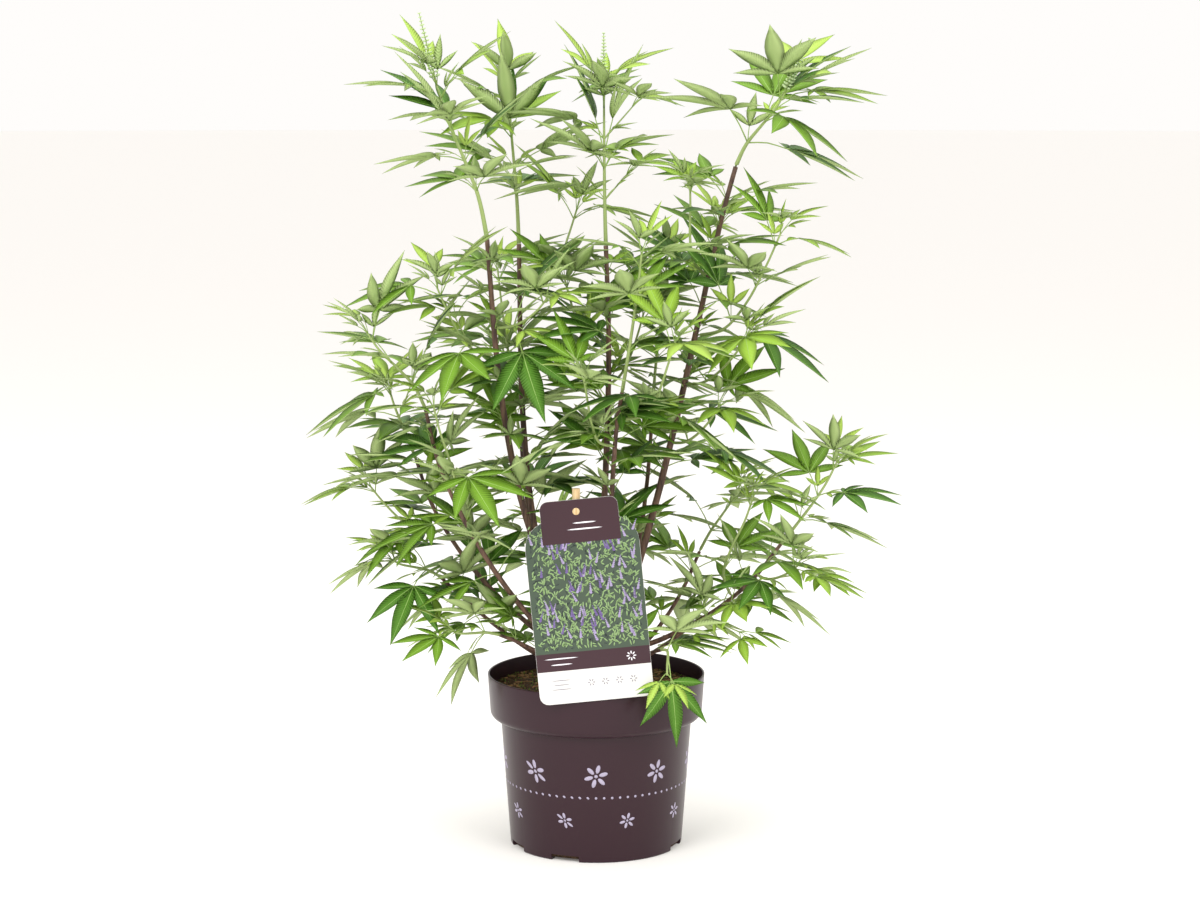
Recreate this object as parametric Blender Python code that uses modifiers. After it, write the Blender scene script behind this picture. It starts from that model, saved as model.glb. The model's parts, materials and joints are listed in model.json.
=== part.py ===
"""Potted chaste tree: a many-stemmed shrub with hand-shaped leaves, in a round nursery pot of compost,
with a card label on a holder at the front.

Metres, +Z up. The origin is the middle of the pot's flat underside, and the label faces -Y.
"""

import math
import random
from collections import namedtuple

import bmesh
import bpy
from mathutils import Matrix, Vector
from mathutils.bvhtree import BVHTree
from mathutils.geometry import interpolate_bezier

# Clearance that neighbouring pieces keep
GAP = 0.0003

# Corners this close count as one, and a join tries these solvers and shortest edges in turn
MERGE_DISTANCE = 3e-7
JOIN_WAYS = (("EXACT", 1e-5), ("MANIFOLD", 1e-5), ("EXACT", 1e-7), ("MANIFOLD", 1e-7))

# Pot
POT_HEIGHT = 0.179
RIM_RADIUS = 0.1125
BASE_RADIUS = 0.0893
NECK_RADIUS = 0.099
BAND_FOOT_RADIUS = 0.110
BAND_FOOT_HEIGHT = 0.133
BAND_ROUNDING = 0.008
POT_WALL = 0.002
POT_FLOOR = 0.003
POT_STEPS = 32
DRAIN_STEPS = 8
DRAIN_FIRST_BEARING = -66.0
DRAIN_LEFT_OUT = 2
DRAIN_WIDTH = 0.030
DRAIN_HEIGHT = 0.0065
DRAIN_DEPTH = 0.014

# Compost
SOIL_TOP = 0.166
SOIL_FLAT_RADIUS = 0.035
SOIL_FALL = 0.003

# Card label, hung on the pin of its holder
CARD_WIDTH = 0.114
CARD_HEIGHT = 0.184
CARD_THICKNESS = 0.001
CARD_SHOULDER = 0.028
CARD_CORNER = 0.009
HEADER_WIDTH = 0.078
HEADER_TOP = 0.203
HEADER_CORNER = 0.008
HOLE_PLACE = (-0.003, 0.191)
HOLE_RADIUS = 0.004
CARD_FOOT = (0.0015, -0.1135, 0.1745)
CARD_TILT = 5.5
CARD_LEAN = 2.9
PIN_RADIUS = 0.0036
PIN_PROUD = 0.001
HOLDER_RADIUS = 0.004
HOLDER_TOP = 0.386
HOLDER_STANDOFF = 0.0012
HOLDER_DEPTH = 0.030
HOLDER_SIDES = 12

# Trunk: a short stool under a rounded head that the boughs leave from
HEAD_HEIGHT = 0.190
HEAD_RADIUS = 0.014
NECK_ANGLE = -25.0
FLARE_RADIUS = 0.018
TRUNK_STEPS = 14

# A bough leaves the head at a bearing and a pitch, in degrees, and swings past its bend to its tip.
Bough = namedtuple("Bough", "bearing pitch bend tip foot_radius tip_radius")
CROWN_PITCH, SHOULDER_PITCH, SIDE_PITCH = 58.0, 18.0, -14.0
BOUGH_LEAVING = 0.2
BOUGH_STUB = 0.003
BOUGH_STRETCHES = 6
BOUGHS = {
    "bough_left": Bough(
        210, CROWN_PITCH, (-0.095, -0.030, 0.340), (-0.109, -0.045, 0.630), 0.0042, 0.0024
    ),
    "bough_back_left": Bough(
        150, CROWN_PITCH, (-0.080, 0.030, 0.255), (-0.080, 0.050, 0.620), 0.0040, 0.0023
    ),
    "bough_centre": Bough(
        88, CROWN_PITCH, (0.020, 0.010, 0.455), (0.010, 0.020, 0.620), 0.0040, 0.0023
    ),
    "bough_right": Bough(
        10, CROWN_PITCH, (0.120, 0.020, 0.640), (0.143, 0.030, 0.700), 0.0042, 0.0024
    ),
    "bough_front": Bough(
        290, CROWN_PITCH, (0.015, -0.060, 0.440), (0.026, -0.080, 0.480), 0.0034, 0.0020
    ),
    "bough_right_low": Bough(
        357, SHOULDER_PITCH, (0.140, -0.005, 0.235), (0.190, -0.010, 0.315), 0.0030, 0.0018
    ),
    "bough_back_right": Bough(
        62, SHOULDER_PITCH, (0.055, 0.090, 0.320), (0.060, 0.100, 0.450), 0.0030, 0.0018
    ),
    "bough_back_left_low": Bough(
        122, SHOULDER_PITCH, (-0.075, 0.095, 0.290), (-0.080, 0.110, 0.400), 0.0030, 0.0018
    ),
    "bough_left_back_low": Bough(
        170, SHOULDER_PITCH, (-0.165, 0.025, 0.300), (-0.187, 0.030, 0.397), 0.0030, 0.0018
    ),
    "bough_left_low": Bough(
        218, SHOULDER_PITCH, (-0.160, -0.055, 0.360), (-0.171, -0.060, 0.460), 0.0032, 0.0018
    ),
    "bough_back_right_low": Bough(
        38, SIDE_PITCH, (0.085, 0.070, 0.225), (0.110, 0.090, 0.290), 0.0026, 0.0017
    ),
    "bough_back_foot": Bough(
        102, SIDE_PITCH, (-0.022, 0.080, 0.210), (-0.030, 0.110, 0.260), 0.0026, 0.0017
    ),
    "bough_left_side": Bough(
        186, SIDE_PITCH, (-0.115, 0.000, 0.235), (-0.160, 0.000, 0.278), 0.0026, 0.0017
    ),
    "bough_left_foot": Bough(
        232, SIDE_PITCH, (-0.065, -0.038, 0.215), (-0.098, -0.050, 0.228), 0.0026, 0.0017
    ),
    "bough_front_foot": Bough(
        300, SIDE_PITCH, (0.048, -0.070, 0.215), (0.065, -0.095, 0.222), 0.0026, 0.0017
    ),
    "bough_right_foot": Bough(
        340, SIDE_PITCH, (0.070, -0.022, 0.212), (0.100, -0.030, 0.235), 0.0026, 0.0017
    ),
}

# A mass of foliage is one shoot. It leaves its bough part of the way along, or at the tip where that is
# 1, and bears pairs of leaves up to its own tip. Leaf lengths are those of the middle leaflet.
Shoot = namedtuple("Shoot", "bough along tip pairs leaf spike")
SHOOTS = {
    "foliage_left_top": Shoot("bough_left", 1, (-0.158, -0.060, 0.785), 4, 0.082, 0.070),
    "foliage_back_left_top": Shoot("bough_back_left", 1, (-0.090, 0.055, 0.775), 4, 0.086, 0.045),
    "foliage_centre_top": Shoot("bough_centre", 1, (0.008, 0.020, 0.775), 4, 0.084, 0.060),
    "foliage_right_top": Shoot("bough_right", 1, (0.192, 0.020, 0.775), 3, 0.098, 0.060),
    "foliage_front_top": Shoot("bough_front", 1, (0.045, -0.095, 0.620), 3, 0.080, 0),
    "foliage_left_end": Shoot("bough_left_low", 1, (-0.228, -0.075, 0.540), 3, 0.082, 0),
    "foliage_left_back_end": Shoot("bough_left_back_low", 1, (-0.215, 0.040, 0.470), 3, 0.078, 0),
    "foliage_right_end": Shoot("bough_right_low", 1, (0.248, 0.000, 0.400), 3, 0.078, 0),
    "foliage_back_right_top": Shoot("bough_back_right", 1, (0.075, 0.115, 0.600), 3, 0.078, 0),
    "foliage_back_left_end": Shoot("bough_back_left_low", 1, (-0.100, 0.120, 0.500), 3, 0.078, 0),
    "foliage_back_right_end": Shoot("bough_back_right_low", 1, (0.155, 0.115, 0.360), 3, 0.076, 0),
    "foliage_back_foot": Shoot("bough_back_foot", 1, (-0.050, 0.145, 0.300), 2, 0.070, 0),
    "foliage_left_side": Shoot("bough_left_side", 1, (-0.212, -0.010, 0.300), 2, 0.072, 0),
    "foliage_left_foot": Shoot("bough_left_foot", 1, (-0.148, -0.060, 0.235), 2, 0.066, 0),
    "foliage_front_foot": Shoot("bough_front_foot", 1, (0.070, -0.148, 0.208), 1, 0.064, 0),
    "foliage_right_foot": Shoot("bough_right_foot", 1, (0.138, -0.050, 0.262), 2, 0.064, 0),
    "foliage_right_rise": Shoot("bough_right", 0.66, (0.186, -0.030, 0.636), 3, 0.080, 0),
    "foliage_left_rise": Shoot("bough_left", 0.74, (-0.158, -0.075, 0.585), 2, 0.084, 0),
    "foliage_left_inner": Shoot("bough_left", 0.80, (-0.048, -0.090, 0.575), 2, 0.080, 0),
    "foliage_back_left_inner": Shoot("bough_back_left", 0.88, (-0.020, 0.080, 0.655), 2, 0.080, 0),
    "foliage_back_left_rise": Shoot("bough_back_left", 0.68, (-0.105, 0.125, 0.590), 2, 0.080, 0),
    "foliage_centre_left": Shoot("bough_centre", 0.74, (-0.032, -0.020, 0.590), 2, 0.078, 0),
    "foliage_centre_back": Shoot("bough_centre", 0.66, (0.050, 0.090, 0.545), 2, 0.078, 0),
    "foliage_right_back": Shoot("bough_right", 0.74, (0.130, 0.115, 0.640), 2, 0.082, 0),
    "foliage_right_inner": Shoot("bough_right", 0.78, (0.095, -0.010, 0.685), 2, 0.056, 0),
    "foliage_right_mid": Shoot("bough_right", 0.56, (0.152, -0.055, 0.535), 2, 0.086, 0),
    "foliage_right_under": Shoot("bough_right", 0.44, (0.125, -0.040, 0.462), 2, 0.078, 0),
    "foliage_front_left": Shoot("bough_front", 0.80, (-0.012, -0.125, 0.500), 2, 0.076, 0),
    "foliage_front_right": Shoot("bough_front", 0.90, (0.078, -0.115, 0.535), 2, 0.076, 0),
    "foliage_left_under": Shoot("bough_left_low", 0.74, (-0.160, -0.110, 0.470), 2, 0.078, 0),
    "foliage_left_back_under": Shoot(
        "bough_left_back_low", 0.72, (-0.235, 0.020, 0.372), 2, 0.074, 0
    ),
    "foliage_right_rise_low": Shoot("bough_right_low", 0.66, (0.160, -0.045, 0.372), 2, 0.066, 0),
    "foliage_right_under_low": Shoot("bough_right_low", 0.82, (0.205, -0.050, 0.300), 2, 0.068, 0),
}
SEED = 7

# Shoots and their twigs
SHOOT_STRETCHES = 4
SHOOT_STUB = 0.0015
SHOOT_LEAVING = 0.35
SHOOT_ARRIVING = 0.30
SHOOT_RISE = 0.6
SIDE_SHOOT_RADIUS = 0.0016
SHOOT_TIP_RADIUS = 0.0013
FIRST_PAIR_ALONG, LAST_PAIR_ALONG = 0.30, 0.90
PAIR_TURN, PAIR_STRAY = 90.0, 15.0
TWIG_CHANCE = 0.3
TWIG_LENGTH = 0.038
TWIG_RADIUS = 0.0011
TWIG_RISE = 1.1
TWIG_LEAF_PART = 0.7
TWIG_LEAF_PITCH = 35.0
TWIG_LEAF_SETBACK = 0.001
SPIKE_FOOT_RADIUS, SPIKE_TIP_RADIUS = 0.0038, 0.0008
SPIKE_SETBACK = 0.004
SPIKE_RISE = 0.3

# Leaves: bearings of the leaflets and their lengths as parts of the middle one
FULL_LEAF = ((80, 0.56), (38, 0.87), (0, 1.0), (-38, 0.87), (-80, 0.56))
SMALL_LEAF = ((46, 0.78), (0, 1.0), (-46, 0.78))
LEAFLET_WIDTH = 0.20
WIDEST_ALONG = 0.42
NOTCH_ALONG = 0.10
REAR_NOTCH_PART = 0.6
HUB_THICKNESS = 0.0028
LEAF_FOLD = 0.35
LEAFLET_DROOP = 0.08
STALK_PART = 0.45
STALK_RADIUS = 0.0009
STALK_TAPER = 0.8
STALK_BARE = 0.004
LEAF_DROOP = (0.0, 32.0)
LEAF_OUTREACH = 0.3
LEAF_ROLL = 20.0
LEAF_SWINGS = (0, 24, -24)
LEAF_PITCH, LEAF_PITCH_GAIN = 15.0, 30.0
LEAF_SHRINK = 0.3
LEAF_GUARD = 1.03
YOUNG_LEAF_PART, TOP_LEAF_PART = 0.55, 0.75
YOUNG_LEAF_PITCH = 62.0
YOUNG_LEAF_SETBACK, YOUNG_LEAF_STAGGER = 0.0025, 0.0006

# The space that the foliage keeps within
CROWN_LEFT, CROWN_RIGHT = -0.322, 0.326
CROWN_FRONT, CROWN_BACK = -0.235, 0.215
CROWN_TOP = 0.858

UP = Vector((0, 0, 1))


def clear_scene():
    for obj in list(bpy.data.objects):
        bpy.data.objects.remove(obj)


def new_collection(name, parent):
    collection = bpy.data.collections.new(name)
    parent.children.link(collection)
    return collection


def finish(obj, colour, roughness):
    """Gives the object a material of its own."""
    material = bpy.data.materials.new(obj.name)
    material.use_nodes = True
    shader = material.node_tree.nodes["Principled BSDF"]
    shader.inputs["Base Color"].default_value = (*colour, 1)
    shader.inputs["Roughness"].default_value = roughness
    shader.inputs["Metallic"].default_value = 0
    obj.data.materials.append(material)
    return obj


def mesh_object(name, bm, collection):
    """Closes a bmesh into a new object."""
    mesh = bpy.data.meshes.new(name)
    bm.to_mesh(mesh)
    bm.free()
    obj = bpy.data.objects.new(name, mesh)
    collection.objects.link(obj)
    return obj


def turned(name, profile, steps, collection):
    """A profile of (radius, height) points turned about Z. It runs down the outer side."""
    bm = bmesh.new()
    verts = [bm.verts.new((radius, 0, height)) for radius, height in profile]
    for a, b in zip(verts, verts[1:]):
        bm.edges.new((a, b))
    obj = mesh_object(name, bm, collection)
    screw = obj.modifiers.new("Turn", "SCREW")
    screw.steps = screw.render_steps = steps
    screw.use_merge_vertices = True
    screw.merge_threshold = 1e-5
    screw.use_smooth_shade = True
    return obj


def arc(centre, radius, start, end, count):
    """Points on a circular arc, angles in degrees."""
    turn = [math.radians(start + (end - start) * i / count) for i in range(count + 1)]
    return [(centre[0] + radius * math.cos(a), centre[1] + radius * math.sin(a)) for a in turn]


def evaluated_mesh(obj):
    return bpy.data.meshes.new_from_object(obj.evaluated_get(bpy.context.evaluated_depsgraph_get()))


def drop_scraps(bm):
    """Keeps only the largest body of a mesh. Bodies that touch at a corner are apart."""
    left = set(bm.faces)
    bodies = []
    while left:
        body, rim = set(), [left.pop()]
        while rim:
            face = rim.pop()
            body.add(face)
            beside = {other for edge in face.edges for other in edge.link_faces} & left
            left -= beside
            rim.extend(beside)
        bodies.append(body)
    main_body = max(bodies, key=len)
    scraps = [face for body in bodies if body is not main_body for face in body]
    bmesh.ops.delete(bm, geom=scraps, context="FACES")


def join_all(obj, operands):
    """Joins every object of a collection onto obj as one closed body of triangles, and drops the collection."""
    union = obj.modifiers.new("Join", "BOOLEAN")
    union.operation = "UNION"
    union.operand_type = "COLLECTION"
    union.collection = operands
    for solver, least_edge in JOIN_WAYS:
        union.solver = solver
        bm = bmesh.new()
        bm.from_mesh(evaluated_mesh(obj))
        bmesh.ops.dissolve_degenerate(bm, dist=least_edge, edges=bm.edges)
        bmesh.ops.triangulate(bm, faces=bm.faces)
        bmesh.ops.remove_doubles(bm, verts=bm.verts, dist=MERGE_DISTANCE)
        drop_scraps(bm)
        if all(len(edge.link_faces) == 2 for edge in bm.edges):
            break
    obj.modifiers.clear()
    obj.data = bpy.data.meshes.new(obj.name)
    bm.to_mesh(obj.data)
    bm.free()
    for operand in list(operands.objects):
        bpy.data.objects.remove(operand)
    bpy.data.collections.remove(operands)


def pot_side(inset):
    """The pot's outer side from foot to rim, moved in towards its axis."""
    centre = (BAND_FOOT_RADIUS - BAND_ROUNDING, BAND_FOOT_HEIGHT + BAND_ROUNDING)
    side = [(BASE_RADIUS - inset, 0), (NECK_RADIUS - inset, BAND_FOOT_HEIGHT + inset)]
    side += arc(centre, BAND_ROUNDING - inset, -90, 0, 4)
    side.append((RIM_RADIUS - inset, POT_HEIGHT))
    return side


def build_pot(parts, cutters):
    inner = pot_side(POT_WALL)
    slope = (NECK_RADIUS - BASE_RADIUS) / BAND_FOOT_HEIGHT
    inner[0] = (inner[0][0] + slope * POT_FLOOR, POT_FLOOR)
    profile = [(0, POT_FLOOR)] + inner + pot_side(0)[::-1] + [(0, 0)]
    pot = turned("pot", profile, POT_STEPS, parts)
    slots = new_collection("drain_slots", cutters)
    for step in range(DRAIN_STEPS):
        if step == DRAIN_LEFT_OUT:
            continue
        bearing = math.radians(DRAIN_FIRST_BEARING + step * 360 / DRAIN_STEPS - 90)
        bm = bmesh.new()
        bmesh.ops.create_cube(bm, size=1)
        bmesh.ops.scale(bm, vec=(2 * DRAIN_DEPTH, DRAIN_WIDTH, 2 * DRAIN_HEIGHT), verts=bm.verts)
        bmesh.ops.translate(bm, vec=(BASE_RADIUS, 0, 0), verts=bm.verts)
        bmesh.ops.rotate(bm, matrix=Matrix.Rotation(bearing, 3, "Z"), verts=bm.verts)
        slot = mesh_object(f"drain_slot_{step}", bm, slots)
        slot.hide_render = True
        slot.display_type = "WIRE"
    cut = pot.modifiers.new("Drain", "BOOLEAN")
    cut.operation = "DIFFERENCE"
    cut.operand_type = "COLLECTION"
    cut.collection = slots
    cut.solver = "EXACT"
    return finish(pot, (0.060, 0.030, 0.042), 0.35)


def soil_height(radius):
    """The compost's surface falls away a little towards the pot's wall."""
    edge = RIM_RADIUS - POT_WALL
    beyond = max(0, radius - SOIL_FLAT_RADIUS) / (edge - SOIL_FLAT_RADIUS)
    return SOIL_TOP - SOIL_FALL * beyond


def card_turn():
    """The label leans back from its foot, and hangs a little askew."""
    lean = Matrix.Rotation(math.radians(90 - CARD_LEAN), 4, "X")
    return lean @ Matrix.Rotation(math.radians(CARD_TILT), 4, "Z")


def holder_line():
    """The holder's upright axis from foot to top, the middle of the label's hole, and the label's front."""
    hole = Vector(CARD_FOOT) + card_turn() @ Vector((*HOLE_PLACE, 0))
    front = card_turn() @ Vector((0, 0, 1))
    depth = hole.y + CARD_THICKNESS / 2 + HOLDER_STANDOFF + HOLDER_RADIUS
    foot = Vector((hole.x, depth, SOIL_TOP - HOLDER_DEPTH))
    top = Vector((hole.x, depth, HOLDER_TOP))
    return foot, top, hole, front


def rod(start, end, start_radius, end_radius, sides=3):
    """A straight tapered rod between two points."""
    axis = end - start
    bm = bmesh.new()
    bmesh.ops.create_cone(
        bm,
        cap_ends=True,
        segments=sides,
        radius1=start_radius,
        radius2=end_radius,
        depth=axis.length,
        matrix=Matrix.Translation((start + end) / 2) @ axis.to_track_quat("Z", "Y").to_matrix().to_4x4(),
    )
    return bm


def build_soil(parts, cutters):
    inset = POT_WALL + GAP
    side = pot_side(inset)
    slope = (NECK_RADIUS - BASE_RADIUS) / BAND_FOOT_HEIGHT
    side[0] = (side[0][0] + slope * (POT_FLOOR + GAP), POT_FLOOR + GAP)
    band_slope = (RIM_RADIUS - BAND_FOOT_RADIUS) / (POT_HEIGHT - BAND_FOOT_HEIGHT - BAND_ROUNDING)
    edge_height = soil_height(RIM_RADIUS - POT_WALL)
    side[-1] = (side[-1][0] - band_slope * (POT_HEIGHT - edge_height), edge_height)
    profile = [(0, SOIL_TOP), (SOIL_FLAT_RADIUS, SOIL_TOP)] + side[::-1] + [(0, POT_FLOOR + GAP)]
    soil = turned("soil", profile, POT_STEPS // 2, parts)
    foot, top, hole, front = holder_line()
    bore_radius = HOLDER_RADIUS + GAP
    bore = mesh_object(
        "holder_hole", rod(foot - GAP * UP, top, bore_radius, bore_radius, HOLDER_SIDES), cutters
    )
    bore.hide_render = True
    bore.display_type = "WIRE"
    cut = soil.modifiers.new("Holder hole", "BOOLEAN")
    cut.operation = "DIFFERENCE"
    cut.object = bore
    cut.solver = "EXACT"
    return finish(soil, (0.045, 0.030, 0.018), 0.9)


def card_outline():
    """The label's outline, from its bottom left corner round by the right. (0, 0) is its bottom middle."""
    half, head = CARD_WIDTH / 2, HEADER_WIDTH / 2
    foot, shoulder, corner = CARD_CORNER, CARD_SHOULDER, HEADER_CORNER
    right = arc((half - foot, foot), foot, -90, 0, 4)
    shoulder_turn = math.degrees(math.acos((head - half + shoulder) / shoulder))
    right += arc((half - shoulder, CARD_HEIGHT - shoulder), shoulder, 0, shoulder_turn, 5)
    right += arc((head - corner, HEADER_TOP - corner), corner, 0, 90, 4)
    return right + [(-across, up) for across, up in reversed(right)]


def build_label(parts):
    curve = bpy.data.curves.new("label", "CURVE")
    curve.dimensions = "2D"
    curve.fill_mode = "BOTH"
    curve.extrude = CARD_THICKNESS / 2
    for outline in (card_outline(), arc(HOLE_PLACE, HOLE_RADIUS, 360, 22.5, 15)):
        spline = curve.splines.new("POLY")
        spline.points.add(len(outline) - 1)
        for point, (across, up) in zip(spline.points, outline):
            point.co = (across, up, 0, 1)
        spline.use_cyclic_u = True
    label = bpy.data.objects.new("label", curve)
    parts.objects.link(label)
    label.matrix_world = Matrix.Translation(CARD_FOOT) @ card_turn()
    return finish(label, (0.30, 0.33, 0.24), 0.3)


def build_label_holder(parts):
    foot, top, hole, front = holder_line()
    body = rod(foot, top, HOLDER_RADIUS, HOLDER_RADIUS, HOLDER_SIDES)
    holder = mesh_object("label_holder", body, parts)
    pins = new_collection("holder_pins", parts)
    behind = hole - front * (CARD_THICKNESS / 2 + HOLDER_STANDOFF + HOLDER_RADIUS)
    ahead = hole + front * (CARD_THICKNESS / 2 + PIN_PROUD)
    mesh_object("holder_pin", rod(behind, ahead, PIN_RADIUS, PIN_RADIUS, HOLDER_SIDES), pins)
    join_all(holder, pins)
    return finish(holder, (0.62, 0.45, 0.26), 0.6)


def build_trunk(parts):
    """A stool with a root flare, from a flat cut on the compost to its rounded head."""
    profile = arc((0, HEAD_HEIGHT), HEAD_RADIUS, 90, NECK_ANGLE, 8)
    neck_radius, neck_height = profile[-1]
    foot_height = SOIL_TOP + GAP
    for i in range(1, 4):
        part = i / 3
        flare = (FLARE_RADIUS - neck_radius) * part**2
        profile.append((neck_radius + flare, neck_height + (foot_height - neck_height) * part))
    profile[0] = (0, profile[0][1])
    profile.append((0, foot_height))
    return finish(turned("trunk", profile, TRUNK_STEPS, parts), (0.12, 0.075, 0.05), 0.85)


def limb(name, points, start_radius, end_radius, roundness, collection):
    """A tapered tube along points, with closed ends."""
    curve = bpy.data.curves.new(name, "CURVE")
    curve.dimensions = "3D"
    curve.bevel_depth = 1
    curve.bevel_resolution = roundness
    curve.use_fill_caps = True
    spline = curve.splines.new("POLY")
    spline.points.add(len(points) - 1)
    for i, (point, place) in enumerate(zip(spline.points, points)):
        point.co = (*place, 1)
        point.radius = start_radius + (end_radius - start_radius) * i / (len(points) - 1)
    obj = bpy.data.objects.new(name, curve)
    collection.objects.link(obj)
    return obj


def bough_points(bough):
    bearing, pitch = math.radians(bough.bearing), math.radians(bough.pitch)
    leaving = Vector(
        (
            math.cos(pitch) * math.cos(bearing),
            math.cos(pitch) * math.sin(bearing),
            math.sin(pitch),
        )
    )
    foot = HEAD_HEIGHT * UP + leaving * (HEAD_RADIUS + GAP)
    stub = foot + leaving * BOUGH_STUB
    tip = Vector(bough.tip)
    handle = stub + leaving * BOUGH_LEAVING * (tip - foot).length
    return [foot] + interpolate_bezier(stub, handle, Vector(bough.bend), tip, BOUGH_STRETCHES + 1)


def along_line(points, part):
    """The place on a line of points, and the line's direction there."""
    lengths = [(b - a).length for a, b in zip(points, points[1:])]
    left = part * sum(lengths)
    for a, b, length in zip(points, points[1:], lengths):
        if left <= length or b is points[-1]:
            return a + (b - a) * min(left / length, 1), (b - a).normalized()
        left -= length


def shoot_points(shoot, lines):
    """The shoot's stem, from its bough's tip or side to its own tip, and its radius where it starts."""
    bough = BOUGHS[shoot.bough]
    place, direction = along_line(lines[shoot.bough], shoot.along)
    tip = Vector(shoot.tip)
    if shoot.along == 1:
        leaving, clear, radius = direction, GAP, bough.tip_radius
    else:
        aside = tip - place
        leaving = (aside - direction * aside.dot(direction)).normalized()
        bough_radius = bough.foot_radius + (bough.tip_radius - bough.foot_radius) * shoot.along
        clear, radius = bough_radius + GAP, SIDE_SHOOT_RADIUS
    start = place + leaving * clear
    stub = start + leaving * SHOOT_STUB
    reach = tip - stub
    rise = UP if reach.z > 0 else -UP
    arriving = (reach.normalized() + rise * SHOOT_RISE).normalized()
    handle = stub + leaving * SHOOT_LEAVING * reach.length
    before = tip - arriving * SHOOT_ARRIVING * reach.length
    return [start] + interpolate_bezier(stub, handle, before, tip, SHOOT_STRETCHES + 1), radius


def leaf_outline(length, leaflets):
    """Rim points of a hand of leaflets, from the notch behind its stalk round by the left."""
    rim = []
    half_width = LEAFLET_WIDTH / 2
    for i, (bearing, part) in enumerate(leaflets):
        before = 180 if i == 0 else (bearing + leaflets[i - 1][0]) / 2
        turn = Matrix.Rotation(math.radians(before), 3, "Z")
        notch = NOTCH_ALONG * (REAR_NOTCH_PART if i == 0 else 1)
        rim.append(turn @ Vector((notch * length, 0, 0)))
        reach = part * length
        turn = Matrix.Rotation(math.radians(bearing), 3, "Z")
        side = half_width * reach
        rim.append(turn @ Vector((WIDEST_ALONG * reach, side, side * LEAF_FOLD)))
        rim.append(turn @ Vector((reach, 0, -LEAFLET_DROOP * reach)))
        rim.append(turn @ Vector((WIDEST_ALONG * reach, -side, side * LEAF_FOLD)))
    return rim


def leaf_blade(length, leaflets, thickness, place):
    """A hand of leaflets: a double cone whose rim is drawn out to the leaflets' outline."""
    rim = leaf_outline(length, leaflets)
    bm = bmesh.new()
    made = bmesh.ops.create_cone(
        bm, cap_ends=True, cap_tris=True, segments=len(rim), radius1=1, radius2=0, depth=1
    )
    under, *edge, over = made["verts"]
    under.co = (0, 0, -thickness / 2)
    over.co = (0, 0, thickness / 2)
    for vert, point in zip(edge, rim):
        vert.co = point
    bm.transform(place)
    return bm


def leaf_place(hub, forward, roll):
    """The frame of a leaf whose middle leaflet points forward and whose upper side faces up."""
    side = UP.cross(forward)
    side = side.normalized() if side.length > 0.05 else Vector((1, 0, 0))
    face = forward.cross(side)
    frame = Matrix((forward, side, face)).transposed().to_4x4()
    return Matrix.Translation(hub) @ frame @ Matrix.Rotation(roll, 4, "X")


def tree_of(bm):
    return BVHTree.FromBMesh(bm)


def object_tree(obj):
    bm = bmesh.new()
    bm.from_mesh(evaluated_mesh(obj))
    bm.transform(obj.matrix_world)
    tree = tree_of(bm)
    bm.free()
    return tree


def inside_crown(bm):
    return all(
        CROWN_LEFT < vert.co.x < CROWN_RIGHT
        and CROWN_FRONT < vert.co.y < CROWN_BACK
        and vert.co.z < CROWN_TOP
        for vert in bm.verts
    )


def touches(bm, trees):
    tree = tree_of(bm)
    return any(tree.overlap(other) for other in trees)


class Foliage:
    """One mass: a stem, and the twigs and leaves that grow from it."""

    def __init__(self, name, parts, others):
        self.name = name
        self.operands = new_collection(name + "_leaves", parts)
        self.others = others
        self.own = []

    def add(self, name, bm):
        mesh_object(f"{self.name}_{name}_{len(self.operands.objects)}", bm, self.operands)

    def leaf(self, start, outward, length, leaflets, droop, roll):
        """Adds a leaf on its stalk, or returns False where it would touch something."""
        hub = start + outward * STALK_PART * length
        level = Vector((outward.x, outward.y, 0))
        level = level.normalized() if level.length > 0.01 else Vector((1, 0, 0))
        forward = (outward * math.cos(droop) + (level * LEAF_OUTREACH - UP) * math.sin(droop)).normalized()
        place = leaf_place(hub, forward, roll)
        guard = leaf_blade(length * LEAF_GUARD, leaflets, HUB_THICKNESS + 4 * GAP, place)
        guard_radius = STALK_RADIUS + 2 * GAP
        stalk_guard = rod(start + outward * STALK_BARE, hub, guard_radius, guard_radius)
        blocked = (
            not inside_crown(guard)
            or touches(guard, self.others)
            or touches(guard, self.own)
            or touches(stalk_guard, self.others)
        )
        guard.free()
        stalk_guard.free()
        if blocked:
            return False
        blade = leaf_blade(length, leaflets, HUB_THICKNESS, place)
        self.own.append(tree_of(blade))
        self.add("blade", blade)
        self.add("stalk", rod(start, hub, STALK_RADIUS, STALK_RADIUS * STALK_TAPER))
        return True

    def leaf_near(self, start, along, side, pitch, length, leaflets, draws):
        """Tries a leaf at its own bearing, then a little to either side of it."""
        droop = math.radians(draws.uniform(*LEAF_DROOP))
        roll = math.radians(draws.uniform(-LEAF_ROLL, LEAF_ROLL))
        for swing in LEAF_SWINGS:
            aside = Matrix.Rotation(math.radians(swing), 3, along) @ side
            outward = aside * math.cos(pitch) + along * math.sin(pitch)
            if self.leaf(start, outward.normalized(), length, leaflets, droop, roll):
                return True
        return False


def crossways(along, draws):
    """A direction square to a stem, at a bearing drawn for its first pair of leaves."""
    side = along.cross(Vector((0, 1, 0)))
    side = side if side.length > 0.1 else along.cross(Vector((1, 0, 0)))
    return Matrix.Rotation(draws.uniform(0, math.tau), 3, along) @ side.normalized()


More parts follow.
